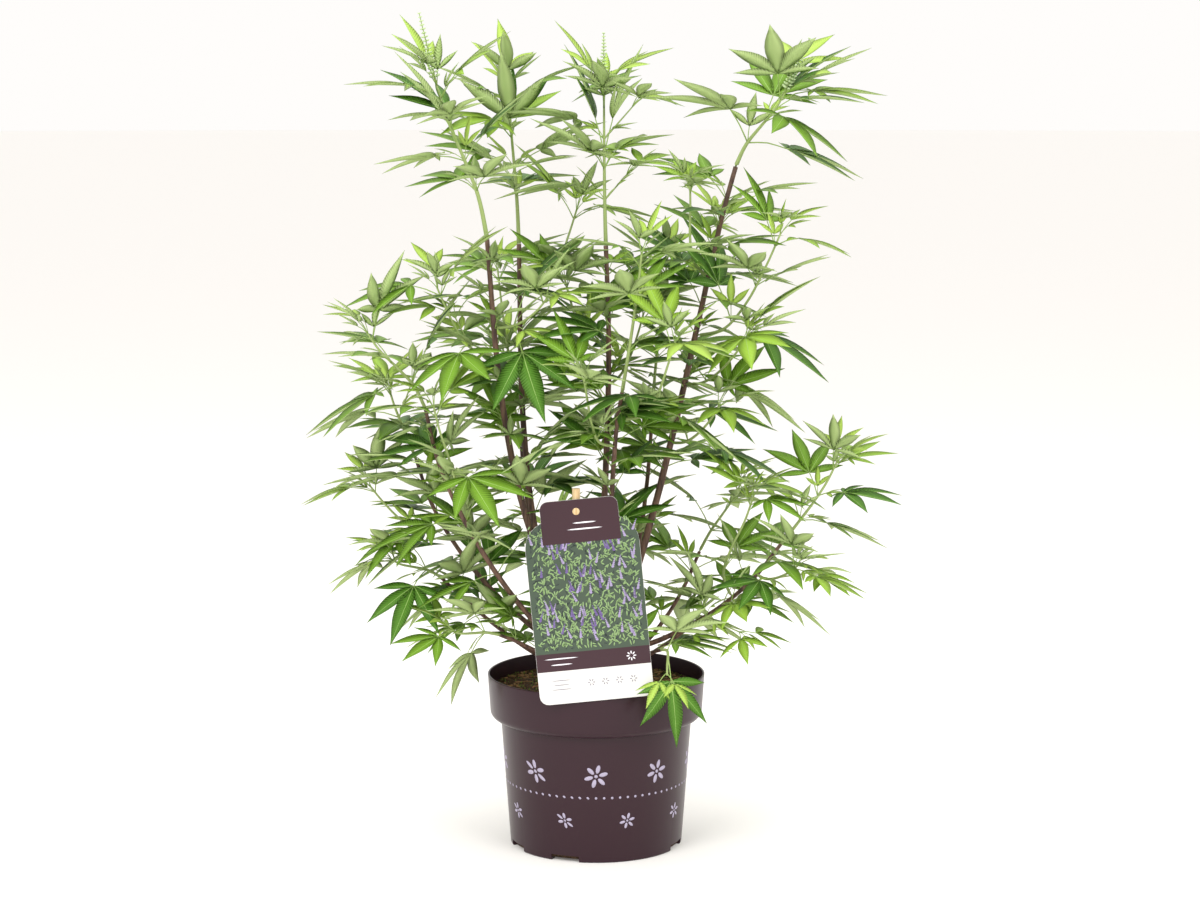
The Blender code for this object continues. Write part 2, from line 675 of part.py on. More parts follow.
def grow_twig(mass, start, along, side, leaf, draws):
    """A side twig with a leaf at its tip and one on either side."""
    outward = (side + along * TWIG_RISE).normalized()
    tip = start + outward * TWIG_LENGTH * draws.uniform(0.8, 1.2)
    bm = rod(start, tip, TWIG_RADIUS, TWIG_RADIUS * STALK_TAPER)
    if touches(bm, mass.others + mass.own[1:]):
        bm.free()
        return
    mass.own.append(tree_of(bm))
    mass.add("twig", bm)
    across = outward.cross(UP)
    across = across.normalized() if across.length > 0.05 else Vector((1, 0, 0))
    near_tip = tip - outward * TWIG_LEAF_SETBACK
    pitch, length = math.radians(TWIG_LEAF_PITCH), leaf * TWIG_LEAF_PART
    for turn in (1, -1):
        mass.leaf_near(near_tip, outward, across * turn, pitch, length, SMALL_LEAF, draws)


def build_stem(name, shoot, parts, lines):
    """A mass's bare stem, as a mesh, and the points it runs through."""
    points, radius = shoot_points(shoot, lines)
    line = limb(name + "_line", points, radius, SHOOT_TIP_RADIUS, 0, parts)
    stem = bpy.data.objects.new(name, evaluated_mesh(line))
    parts.objects.link(stem)
    bpy.data.objects.remove(line)
    bm = bmesh.new()
    bm.from_mesh(stem.data)
    bmesh.ops.remove_doubles(bm, verts=bm.verts, dist=MERGE_DISTANCE)
    bm.to_mesh(stem.data)
    bm.free()
    return stem, points


def grow_shoot(stem, points, shoot, seed, parts, others):
    """Grows one mass of foliage from its stem, as one solid."""
    draws = random.Random(seed)
    mass = Foliage(stem.name, parts, others)
    mass.own.append(object_tree(stem))
    first_place, first_along = along_line(points, FIRST_PAIR_ALONG)
    side = crossways(first_along, draws)
    for pair in range(shoot.pairs):
        run = LAST_PAIR_ALONG - FIRST_PAIR_ALONG
        part = FIRST_PAIR_ALONG + run * pair / max(1, shoot.pairs - 1)
        place, along = along_line(points, part)
        side = (side - along * side.dot(along)).normalized()
        shrink = 1 - LEAF_SHRINK * pair / shoot.pairs
        length = shoot.leaf * shrink * draws.uniform(0.9, 1.1)
        pitch = math.radians(LEAF_PITCH + LEAF_PITCH_GAIN * part)
        twig_side = draws.choice((1, -1)) if draws.random() < TWIG_CHANCE else 0
        for turn in (1, -1):
            if turn == twig_side and pair < shoot.pairs - 1:
                grow_twig(mass, place, along, side * turn, shoot.leaf, draws)
            else:
                mass.leaf_near(place, along, side * turn, pitch, length, FULL_LEAF, draws)
        turned_by = PAIR_TURN + draws.uniform(-PAIR_STRAY, PAIR_STRAY)
        side = Matrix.Rotation(math.radians(turned_by), 3, along) @ side
    tip, along = along_line(points, 1)
    pitch = math.radians(YOUNG_LEAF_PITCH)
    young = shoot.leaf * (TOP_LEAF_PART if shoot.spike else YOUNG_LEAF_PART)
    for turn in (1, -1):
        place = tip - along * (YOUNG_LEAF_SETBACK + YOUNG_LEAF_STAGGER * turn)
        mass.leaf_near(place, along, side * turn, pitch, young, SMALL_LEAF, draws)
    if shoot.spike:
        spike_foot = tip - along * SPIKE_SETBACK
        spike_tip = tip + (along + UP * SPIKE_RISE).normalized() * shoot.spike
        mass.add("spike", rod(spike_foot, spike_tip, SPIKE_FOOT_RADIUS, SPIKE_TIP_RADIUS, sides=6))
    join_all(stem, mass.operands)
    finish(stem, (0.10, 0.26, 0.05), 0.55)


def main():
    clear_scene()
    scene = bpy.context.scene.collection
    parts = new_collection("potted_chaste_tree", scene)
    cutters = new_collection("cutters", scene)
    firm = [
        build_pot(parts, cutters),
        build_soil(parts, cutters),
        build_label(parts),
        build_label_holder(parts),
        build_trunk(parts),
    ]
    lines = {}
    for name, bough in BOUGHS.items():
        lines[name] = bough_points(bough)
        obj = limb(name, lines[name], bough.foot_radius, bough.tip_radius, 1, parts)
        firm.append(finish(obj, (0.13, 0.085, 0.06), 0.8))
    stems = {name: build_stem(name, shoot, parts, lines) for name, shoot in SHOOTS.items()}
    bpy.context.view_layer.update()
    firm_trees = [object_tree(obj) for obj in firm]
    trees = {name: object_tree(stem) for name, (stem, points) in stems.items()}
    for i, (name, shoot) in enumerate(SHOOTS.items()):
        stem, points = stems[name]
        others = firm_trees + [tree for other, tree in trees.items() if other != name]
        grow_shoot(stem, points, shoot, SEED + i, parts, others)
        trees[name] = object_tree(stem)


main()
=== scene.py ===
"""Looks of a potted chaste tree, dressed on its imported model.

Metres, +Z up, and the label faces -Y. Bearings and pitches are in degrees. Stems and leaves
grow by the rule of the solids and are drawn finer.
"""

import json
import random
from collections import namedtuple
from math import acos, cos, degrees, hypot, pi, radians, sin, sqrt, tau

import bmesh
import bpy
import numpy as np
from mathutils import Matrix, Vector, noise
from mathutils.geometry import interpolate_bezier
from mathutils.kdtree import KDTree

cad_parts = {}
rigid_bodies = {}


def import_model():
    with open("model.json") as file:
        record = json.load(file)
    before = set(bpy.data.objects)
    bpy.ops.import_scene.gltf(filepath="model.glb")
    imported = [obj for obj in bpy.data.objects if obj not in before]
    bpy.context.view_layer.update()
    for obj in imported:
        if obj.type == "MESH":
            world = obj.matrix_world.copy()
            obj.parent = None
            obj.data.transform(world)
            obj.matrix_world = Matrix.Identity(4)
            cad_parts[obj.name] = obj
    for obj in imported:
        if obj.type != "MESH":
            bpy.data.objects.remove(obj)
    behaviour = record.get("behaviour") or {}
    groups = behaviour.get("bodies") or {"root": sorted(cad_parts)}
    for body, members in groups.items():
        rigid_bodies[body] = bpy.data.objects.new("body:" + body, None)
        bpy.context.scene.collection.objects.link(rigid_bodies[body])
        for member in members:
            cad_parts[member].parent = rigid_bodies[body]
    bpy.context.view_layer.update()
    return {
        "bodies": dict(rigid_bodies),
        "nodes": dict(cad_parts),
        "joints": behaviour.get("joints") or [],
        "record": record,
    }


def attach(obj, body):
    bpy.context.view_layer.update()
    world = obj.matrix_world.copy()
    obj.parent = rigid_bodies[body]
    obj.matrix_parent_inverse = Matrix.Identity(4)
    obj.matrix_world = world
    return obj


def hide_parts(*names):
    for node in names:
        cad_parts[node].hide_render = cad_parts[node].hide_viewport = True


UP = Vector((0, 0, 1))
GAP = 0.0003
SHARP_ANGLE, ALL_SMOOTH = 35.0, 180.0
MERGE_DISTANCE = 1e-6

# Camera and stage. A light has its place, its size and its power in watts.
CAMERA_PLACE = (0.004, -2.8, 0.79)
CAMERA_PITCH = 7.7
CAMERA_LENS, CAMERA_SENSOR = 82.5, 36
FLOOR_RADIUS, FLOOR_SIDES = 40.0, 96
FLOOR_GLOW = 0.12
LIGHTS_AIM = Vector((0, 0, 0.4))
LIGHTS = {
    "front_left_light": ((-1.6, -2.2, 2.1), 1.6, 50),
    "front_right_light": ((1.7, -2.0, 1.8), 1.6, 33),
    "top_light": ((0.1, 0.2, 2.6), 1.8, 20),
}

# Pot
POT_HEIGHT = 0.179
RIM_RADIUS = 0.1125
BASE_RADIUS = 0.0893
NECK_RADIUS = 0.099
BAND_FOOT_RADIUS = 0.110
BAND_FOOT_HEIGHT = 0.133
BAND_ROUNDING, BAND_STEPS = 0.008, 8
POT_WALL = 0.002
POT_FLOOR = 0.003
LIP_STEPS = 8
FOOT_ROUNDING, FOOT_STEPS = 0.002, 4
POT_STEPS = 144
DRAIN_STEPS = 8
DRAIN_FIRST_BEARING = -66.0
DRAIN_LEFT_OUT = 2
DRAIN_WIDTH = 0.030
DRAIN_HEIGHT = 0.0065
DRAIN_DEPTH = 0.014

# Print on the pot: two rows of rosettes, each with its height, size and stagger, and dots between
PRINT_RELIEF, PRINT_SUNK = 0.00012, 0.4
PRINT_SIDES = 20
ROSETTE_STEPS = 9
ROSETTE_ROWS = ((0.092, 0.0125, 0.0), (0.044, 0.0085, 20.0))
ROSETTE_PETALS, ROSETTE_TURN = 6, 0.26
ROSETTE_EYE = 0.14
PETAL_SPREAD, PETAL_LENGTH, PETAL_WIDTH = 0.62, 0.36, 0.17
DOT_HEIGHT, DOT_RADIUS, DOT_STEPS = 0.0690, 0.0013, 72

# Compost
SOIL_TOP = 0.166
SOIL_FLAT_RADIUS = 0.035
SOIL_FALL = 0.003
SOIL_WALL_GAP, SOIL_EDGE = 0.0008, 0.0005
SOIL_RINGS, SOIL_STEPS = 60, 200
SOIL_RELIEF, LUMPS_PER_METRE = 0.0016, 90
LUMP_FRACTAL = (0.8, 2.1, 4)

# Litter on the compost: its sizes along X, Y and Z, its lift in parts of its own height, the
# radius that it lies beyond, and how far it keeps from the compost's edge
Litter = namedtuple("Litter", "count sizes lift beyond edge_gap")
CRUMBS = Litter(2600, [(0.0006, 0.0022)] * 2 + [(0.0005, 0.0015)], 0.2, 0.012, 0.003)
CHIPS = Litter(260, [(0.003, 0.009), (0.0015, 0.004), (0.0008, 0.0016)], 0.5, 0.022, 0.007)
TUFTS = Litter(420, [(0.002, 0.004)] * 2 + [(0.0015, 0.0035)], 0.3, 0.055, 0.003)
LITTER_TILT = 0.5
CRUMB_STRAY = (0.75, 1.15)
CHIP_BEVEL = 0.12
TUFT_SIDES, TUFT_FOOT, TUFT_TOP = 4, 0.35, 0.05

# Card label and its holder
CARD_WIDTH = 0.114
CARD_HEIGHT = 0.184
CARD_THICKNESS = 0.001
CARD_SHOULDER, SHOULDER_STEPS = 0.028, 10
CARD_CORNER, CORNER_STEPS = 0.009, 8
HEADER_WIDTH = 0.078
HEADER_TOP = 0.203
HEADER_CORNER, HEADER_STEPS = 0.008, 6
CARD_FOOT = (0.0015, -0.1135, 0.1745)
CARD_TILT = 5.5
CARD_LEAN = 2.9
INK, INK_INSET, INK_SIDES = 0.0001, 0.0002, 8
WHITE_FOOT_TOP, BAND_TOP, PICTURE_TOP, HEADER_FOOT = 0.033, 0.051, 0.184, 0.160

# Print on the label. A panel has its two heights, its reach to either side, its ink and its layer.
LABEL_PANELS = {
    "label_band": (WHITE_FOOT_TOP, BAND_TOP, CARD_WIDTH / 2, "plum ink", 0),
    "label_picture": (BAND_TOP, HEADER_TOP, CARD_WIDTH / 2, "picture ink", 0),
    "label_header": (HEADER_FOOT, HEADER_TOP, HEADER_WIDTH / 2, "plum ink", 4),
}
PICTURE_REACH = CARD_WIDTH / 2 - 0.005
LEAF_DABS = (("dark ink", 420, 1), ("leaf ink", 900, 2))
LEAF_DABS_UP = (BAND_TOP + 0.004, PICTURE_TOP - 0.004)
LEAF_DAB_LENGTH, LEAF_DAB_WIDTH, LEAF_DAB_TURN = (0.0018, 0.0034), 0.0007, (0.2, 2.9)
FLOWERS, FLOWER_DABS, FLOWER_LAYER = 95, 6, 3
FLOWERS_UP = (BAND_TOP + 0.010, PICTURE_TOP - 0.014)
FLOWER_INKS = ("lilac ink", "lilac ink", "violet ink")
FLOWER_LEAN, FLOWER_RISE = 0.5, 0.0018
FLOWER_DAB, FLOWER_TAPER, FLOWER_WIDTH = 0.0016, 0.12, 0.8
# Lines: ink, layer, half thickness, place across, and each one's height and half length
LABEL_LINES = (
    ("grey ink", 0, 0.00045, -0.034, ((0.0235, 0.0100), (0.0190, 0.0085), (0.0145, 0.0105))),
    ("white ink", 1, 0.0007, -0.032, ((0.0455, 0.017), (0.0395, 0.011))),
    ("white ink", 5, 0.0008, 0.004, ((0.1795, 0.012), (0.1733, 0.018))),
)
# Rosettes: ink, layer, places across, height, number of petals, their spread and half sizes
LABEL_ROSETTES = (
    ("grey ink", 0, (-0.004, 0.010, 0.024, 0.038), 0.019, 6, 0.0026, 0.0013, 0.0006),
    ("white ink", 1, (0.038,), 0.042, 8, 0.0034, 0.0017, 0.0007),
)

# Trunk
HEAD_HEIGHT = 0.190
HEAD_RADIUS, HEAD_STEPS = 0.014, 24
NECK_ANGLE = -25.0
FLARE_RADIUS, FLARE_STEPS = 0.018, 10
STOOL_STEPS = 64
BARK_RELIEF = 0.10
BARK_GRAIN, BOUGH_RIDGES, BOUGH_SHIFT = 0.014, 1.6, 9
STOOL_RIDGES = Vector((260, 260, 70))


def metres(lengths):
    return [length / 1000 for length in lengths]


# A bough leaves the head at a bearing and a pitch and swings past its bend to its tip. These
# rows have mm for the bend, the tip and the radii at foot and tip.
Bough = namedtuple("Bough", "bearing pitch bend tip foot_radius tip_radius")
CROWN_PITCH, SHOULDER_PITCH, SIDE_PITCH = 58.0, 18.0, -14.0
BOUGH_LEAVING = 0.2
BOUGH_STUB = 0.003
BOUGH_STRETCHES = 6
BOUGH_ROWS = (
    ("left", 210, CROWN_PITCH, (-95, -30, 340), (-109, -45, 630), 4.2, 2.4),
    ("back_left", 150, CROWN_PITCH, (-80, 30, 255), (-80, 50, 620), 4, 2.3),
    ("centre", 88, CROWN_PITCH, (20, 10, 455), (10, 20, 620), 4, 2.3),
    ("right", 10, CROWN_PITCH, (120, 20, 640), (143, 30, 700), 4.2, 2.4),
    ("front", 290, CROWN_PITCH, (15, -60, 440), (26, -80, 480), 3.4, 2),
    ("right_low", 357, SHOULDER_PITCH, (140, -5, 235), (190, -10, 315), 3, 1.8),
    ("back_right", 62, SHOULDER_PITCH, (55, 90, 320), (60, 100, 450), 3, 1.8),
    ("back_left_low", 122, SHOULDER_PITCH, (-75, 95, 290), (-80, 110, 400), 3, 1.8),
    ("left_back_low", 170, SHOULDER_PITCH, (-165, 25, 300), (-187, 30, 397), 3, 1.8),
    ("left_low", 218, SHOULDER_PITCH, (-160, -55, 360), (-171, -60, 460), 3.2, 1.8),
    ("back_right_low", 38, SIDE_PITCH, (85, 70, 225), (110, 90, 290), 2.6, 1.7),
    ("back_foot", 102, SIDE_PITCH, (-22, 80, 210), (-30, 110, 260), 2.6, 1.7),
    ("left_side", 186, SIDE_PITCH, (-115, 0, 235), (-160, 0, 278), 2.6, 1.7),
    ("left_foot", 232, SIDE_PITCH, (-65, -38, 215), (-98, -50, 228), 2.6, 1.7),
    ("front_foot", 300, SIDE_PITCH, (48, -70, 215), (65, -95, 222), 2.6, 1.7),
    ("right_foot", 340, SIDE_PITCH, (70, -22, 212), (100, -30, 235), 2.6, 1.7),
)
BOUGHS = {
    "bough_" + name: Bough(bearing, pitch, metres(bend), metres(tip), *metres(radii))
    for name, bearing, pitch, bend, tip, *radii in BOUGH_ROWS
}

# A shoot leaves its bough part of the way along, or at the tip where that is 1. These rows have
# mm for the tip, the leaf and the flower spike.
Shoot = namedtuple("Shoot", "bough along tip pairs leaf spike")
SHOOT_ROWS = (
    ("left_top", "left", 1, (-158, -60, 785), 4, 82, 70),
    ("back_left_top", "back_left", 1, (-90, 55, 775), 4, 86, 45),
    ("centre_top", "centre", 1, (8, 20, 775), 4, 84, 60),
    ("right_top", "right", 1, (192, 20, 775), 3, 98, 60),
    ("front_top", "front", 1, (45, -95, 620), 3, 80, 0),
    ("left_end", "left_low", 1, (-228, -75, 540), 3, 82, 0),
    ("left_back_end", "left_back_low", 1, (-215, 40, 470), 3, 78, 0),
    ("right_end", "right_low", 1, (248, 0, 400), 3, 78, 0),
    ("back_right_top", "back_right", 1, (75, 115, 600), 3, 78, 0),
    ("back_left_end", "back_left_low", 1, (-100, 120, 500), 3, 78, 0),
    ("back_right_end", "back_right_low", 1, (155, 115, 360), 3, 76, 0),
    ("back_foot", "back_foot", 1, (-50, 145, 300), 2, 70, 0),
    ("left_side", "left_side", 1, (-212, -10, 300), 2, 72, 0),
    ("left_foot", "left_foot", 1, (-148, -60, 235), 2, 66, 0),
    ("front_foot", "front_foot", 1, (70, -148, 208), 1, 64, 0),
    ("right_foot", "right_foot", 1, (138, -50, 262), 2, 64, 0),
    ("right_rise", "right", 0.66, (186, -30, 636), 3, 80, 0),
    ("left_rise", "left", 0.74, (-158, -75, 585), 2, 84, 0),
    ("left_inner", "left", 0.8, (-48, -90, 575), 2, 80, 0),
    ("back_left_inner", "back_left", 0.88, (-20, 80, 655), 2, 80, 0),
    ("back_left_rise", "back_left", 0.68, (-105, 125, 590), 2, 80, 0),
    ("centre_left", "centre", 0.74, (-32, -20, 590), 2, 78, 0),
    ("centre_back", "centre", 0.66, (50, 90, 545), 2, 78, 0),
    ("right_back", "right", 0.74, (130, 115, 640), 2, 82, 0),
    ("right_inner", "right", 0.78, (95, -10, 685), 2, 56, 0),
    ("right_mid", "right", 0.56, (152, -55, 535), 2, 86, 0),
    ("right_under", "right", 0.44, (125, -40, 462), 2, 78, 0),
    ("front_left", "front", 0.8, (-12, -125, 500), 2, 76, 0),
    ("front_right", "front", 0.9, (78, -115, 535), 2, 76, 0),
    ("left_under", "left_low", 0.74, (-160, -110, 470), 2, 78, 0),
    ("left_back_under", "left_back_low", 0.72, (-235, 20, 372), 2, 74, 0),
    ("right_rise_low", "right_low", 0.66, (160, -45, 372), 2, 66, 0),
    ("right_under_low", "right_low", 0.82, (205, -50, 300), 2, 68, 0),
)
SHOOTS = {
    "foliage_" + name: Shoot("bough_" + bough, along, metres(tip), pairs, *metres(sizes))
    for name, bough, along, tip, pairs, *sizes in SHOOT_ROWS
}
SEED = 7
GROWTH_SEED, BUD_SEED, LEAFLET_SEED = SEED + 500, SEED + 300, SEED + 900

# Sides and stretches of the rods that are bent along lines
STALK_ROD, STEM_ROD, BARK_ROD, SPIKE_ROD, RIB_ROD = (5, 4), (8, 24), (14, 90), (6, 6), (4, 5)
STALK_STEPS, STEM_STEPS, BOUGH_STEPS = 3, 5, 6

# The rule that shoots, twigs and leaves grow by
SHOOT_STRETCHES = 4
SHOOT_STUB = 0.0015
SHOOT_LEAVING = 0.35
SHOOT_ARRIVING = 0.30
SHOOT_RISE = 0.6
SIDE_SHOOT_RADIUS = 0.0016
SHOOT_TIP_RADIUS = 0.0010
FIRST_PAIR_ALONG, LAST_PAIR_ALONG = 0.30, 0.90
PAIR_TURN, PAIR_STRAY = 90.0, 15.0
PAIR_LENGTH_STRAY = (0.9, 1.1)
TWIG_CHANCE = 0.3
TWIG_LENGTH, TWIG_LENGTH_STRAY = 0.038, (0.8, 1.2)
TWIG_RADIUS = 0.0009
TWIG_RISE = 1.1
TWIG_LEAF_PART = 0.7
TWIG_LEAF_PITCH = 35.0
TWIG_LEAF_SETBACK = 0.001
SPIKE_SETBACK = 0.004
SPIKE_RISE = 0.3
FULL_LEAF = ((80, 0.56), (38, 0.87), (0, 1.0), (-38, 0.87), (-80, 0.56))
SMALL_LEAF = ((46, 0.78), (0, 1.0), (-46, 0.78))
HIND_LEAFLETS = ((120, 0.28), (-120, 0.28))
HIND_LEAFLET_CHANCE = 0.2
STALK_PART = 0.45
STALK_RADIUS = 0.00065
STALK_TAPER = 0.75
LEAF_DROOP = (0.0, 32.0)
LEAF_OUTREACH = 0.3
LEAF_ROLL = 20.0
LEAF_SWINGS = (0, 24, -24)
LEAF_PITCH, LEAF_PITCH_GAIN = 15.0, 30.0
LEAF_SHRINK = 0.3
YOUNG_LEAF_PART, TOP_LEAF_PART = 0.55, 0.75
YOUNG_LEAF_PITCH = 62.0
YOUNG_LEAF_SETBACK, YOUNG_LEAF_STAGGER = 0.0025, 0.0006
# A sideways direction shorter than these is too weak to lay a leaf by.
LEAST_LEVEL, LEAST_SIDE, LEAST_ACROSS = 0.01, 0.05, 0.1
CROWN_LEFT, CROWN_RIGHT = -0.322, 0.326
CROWN_FRONT, CROWN_BACK = -0.235, 0.215
CROWN_TOP = 0.858

# A leaf or twig lies on its solid where a corner of the solid is this near to its tip.
LEAF_MATCH, TWIG_MATCH = 0.0006, 0.0014

# Finer growth between the solid leaves. Each kind has its pitch, its part of the main leaf's
# length and its age, which deals the shades of green from old at 0 to young at 1.
LEAF_AGE, LEAF_AGE_GAIN, LEAF_AGE_STRAY = 0.15, 0.55, 0.2
TWIG_LEAF_AGE, YOUNG_LEAF_AGE = 0.7, 0.9
TUFT_CHANCE, TUFT_PITCH, TUFT_PART, TUFT_AGE = 0.85, (42, 62), (0.30, 0.50), 0.85
TWIG_TOP_PITCH, TWIG_TOP_PART, TWIG_TOP_AGE = 66.0, 0.5, 0.95
SHOOT_TOP_PITCH, SHOOT_TOP_PART, SHOOT_TOP_AGE = 70.0, 0.6, 1.0
# Pairs of leaves along the boughs, and smaller ones in their axils
BOUGH_PAIR_SPACING, BOUGH_PAIRS_TO = 0.027, 0.96
BOUGH_PAIRS_FROM = {CROWN_PITCH: 0.36, SHOULDER_PITCH: 0.38, SIDE_PITCH: 0.40}
BOUGH_PAIR_TURN = (70, 110)
BOUGH_LEAF, BOUGH_LEAF_PITCH = (0.056, 0.078), (15, 50)
BOUGH_FULL_CHANCE, BOUGH_LEAF_AGE = 0.7, 0.3
AXIL_CHANCE, AXIL_PITCH, AXIL_PART, AXIL_AGE = 0.5, 55.0, 0.5, 0.7
# Tall leaves under the flower spikes
TALL_LEAVES_ALONG, TALL_LEAF, TALL_LEAF_PITCH, TALL_LEAF_AGE = 0.60, 0.082, 76.0, 0.2
# Room that leaves keep to the label and the compost
CARD_CLEAR, CARD_CLEAR_FRONT, CARD_CLEAR_TOP = 0.066, -0.092, 0.385
LEAST_LEAF_HEIGHT = 0.176
ROOM_STEPS = 4

# Leaflets
LEAFLET_STATIONS = 8
LEAFLET_WIDTH = 0.235
LEAFLET_FULLNESS, LEAFLET_POINT = 1.05, 1.40
LEAFLET_NECK = 0.03
LEAFLET_THICKNESS, LEAFLET_ENDS = 0.006, 0.01
LEAF_FOLD = 0.35
LEAFLET_DROOP = 0.08
REACH_STRAY, WIDTH_STRAY, DROOP_STRAY = (0.93, 1.05), (0.88, 1.12), (-0.05, 0.08)
TURN_STRAY, BOW_STRAY = 4.0, 0.05
STALK_SAG = (0.03, 0.09)
STALK_LEAST, STALK_GAIN, STALK_FULL_LEAF = 0.6, 0.5, 0.08
RIB_WIDTH, RIB_PROUD = 0.0055, 0.0035
RIB_START, RIB_RUN, RIB_TAPER = 0.005, 0.975, 1.05
VEIN_SLANT = 0.9
SHADES = (("deep leaf", 0.30), ("grown leaf", 0.58), ("fresh leaf", 0.82), ("young leaf", 9))

# Flower buds
SPIKE_FOOT_RADIUS, SPIKE_TIP_RADIUS = 0.0010, 0.0004
BUD_WHORLS, BUDS_FROM = 17, 0.14
BUDS_ROUND, BUD_TURN_STRAY, BUD_RISE = 6, 0.3, 0.3
BUD_RADIUS = (0.0010, 0.0021)
BUD_SHAPE = Vector((0.7, 0.7, 1.25))
BUD_SPREAD, BUD_SPREAD_TIP, BUD_SPREAD_STRAY = 0.0036, 0.0008, (0.7, 1.2)

# Sizes of surface patterns in mm. The last two are coarser than life, so as to show.
VEIN_SPACING_MM = 3.2
WAVE_TEXTURE_RATE = 20
BARK_CRACK_MM = 3.846
COMPOST_CRUMB_MM = 2.381
CANE_FIBRE_MM = 1.4286
MOULD_GRAIN_MM = 1.111
MOTTLE_SPAN = (0.35, 0.65)


def linear(hex_colour):
    """An sRGB hex colour as the linear values that a shader takes."""
    channels = [int(hex_colour[i : i + 2], 16) / 255 for i in (1, 3, 5)]
    shares = [c / 12.92 if c <= 0.04045 else ((c + 0.055) / 1.055) ** 2.4 for c in channels]
    return (*shares, 1)


def add_node(material, kind, inputs, **settings):
    """Adds a node with its settings. An input is a value, or another node's output to link."""
    node = material.node_tree.nodes.new(kind)
    for name, value in settings.items():
        setattr(node, name, value)
    for name, value in inputs.items():
        if isinstance(value, bpy.types.NodeSocket):
            material.node_tree.links.new(value, node.inputs[name])
        else:
            node.inputs[name].default_value = value
    return node


def new_material(name, colour, roughness, specular=0.5):
    material = bpy.data.materials.new(name)
    material.use_nodes = True
    shader = material.node_tree.nodes["Principled BSDF"]
    shader.inputs["Base Color"].default_value = linear(colour)
    shader.inputs["Roughness"].default_value = roughness
    shader.inputs["Specular IOR Level"].default_value = specular
    return material, shader


def raise_surface(material, shader, height, strength, distance):
    """Gives a material a fine relief."""
    bump = add_node(
        material, "ShaderNodeBump", {"Strength": strength, "Distance": distance, "Height": height}
    )
    material.node_tree.links.new(bump.outputs["Normal"], shader.inputs["Normal"])


def mottle(material, shader, colours, scale, stretch=(1, 1, 1), detail=3.0):
    """Runs a material's colour through a noise pattern on the piece. Returns the pattern."""
    place = add_node(material, "ShaderNodeTexCoord", {}).outputs["Object"]
    turned = add_node(material, "ShaderNodeMapping", {"Vector": place, "Scale": stretch})
    inputs = {"Vector": turned.outputs["Vector"], "Scale": scale, "Detail": detail}
    pattern = add_node(material, "ShaderNodeTexNoise", inputs).outputs["Fac"]
    ramp = add_node(material, "ShaderNodeValToRGB", {"Fac": pattern})
    for element, position, colour in zip(ramp.color_ramp.elements, MOTTLE_SPAN, colours):
        element.position, element.color = position, linear(colour)
    material.node_tree.links.new(ramp.outputs["Color"], shader.inputs["Base Color"])
    return pattern


def leaf_surface(name, colour, roughness, relief):
    """A leaf's skin: plain colour, with side veins that slant from the midrib in a fine relief."""
    material, shader = new_material(name, colour, roughness, 0.25)
    inputs = {
        "Vector": add_node(material, "ShaderNodeUVMap", {}, uv_map="Blade").outputs["UV"],
        "Scale": tau / (WAVE_TEXTURE_RATE * VEIN_SPACING_MM),
        "Distortion": 1.2,
        "Detail Scale": 0.3,
    }
    veins = add_node(material, "ShaderNodeTexWave", inputs, bands_direction="X")
    raise_surface(material, shader, veins.outputs["Fac"], relief, 0.0006)
    return material


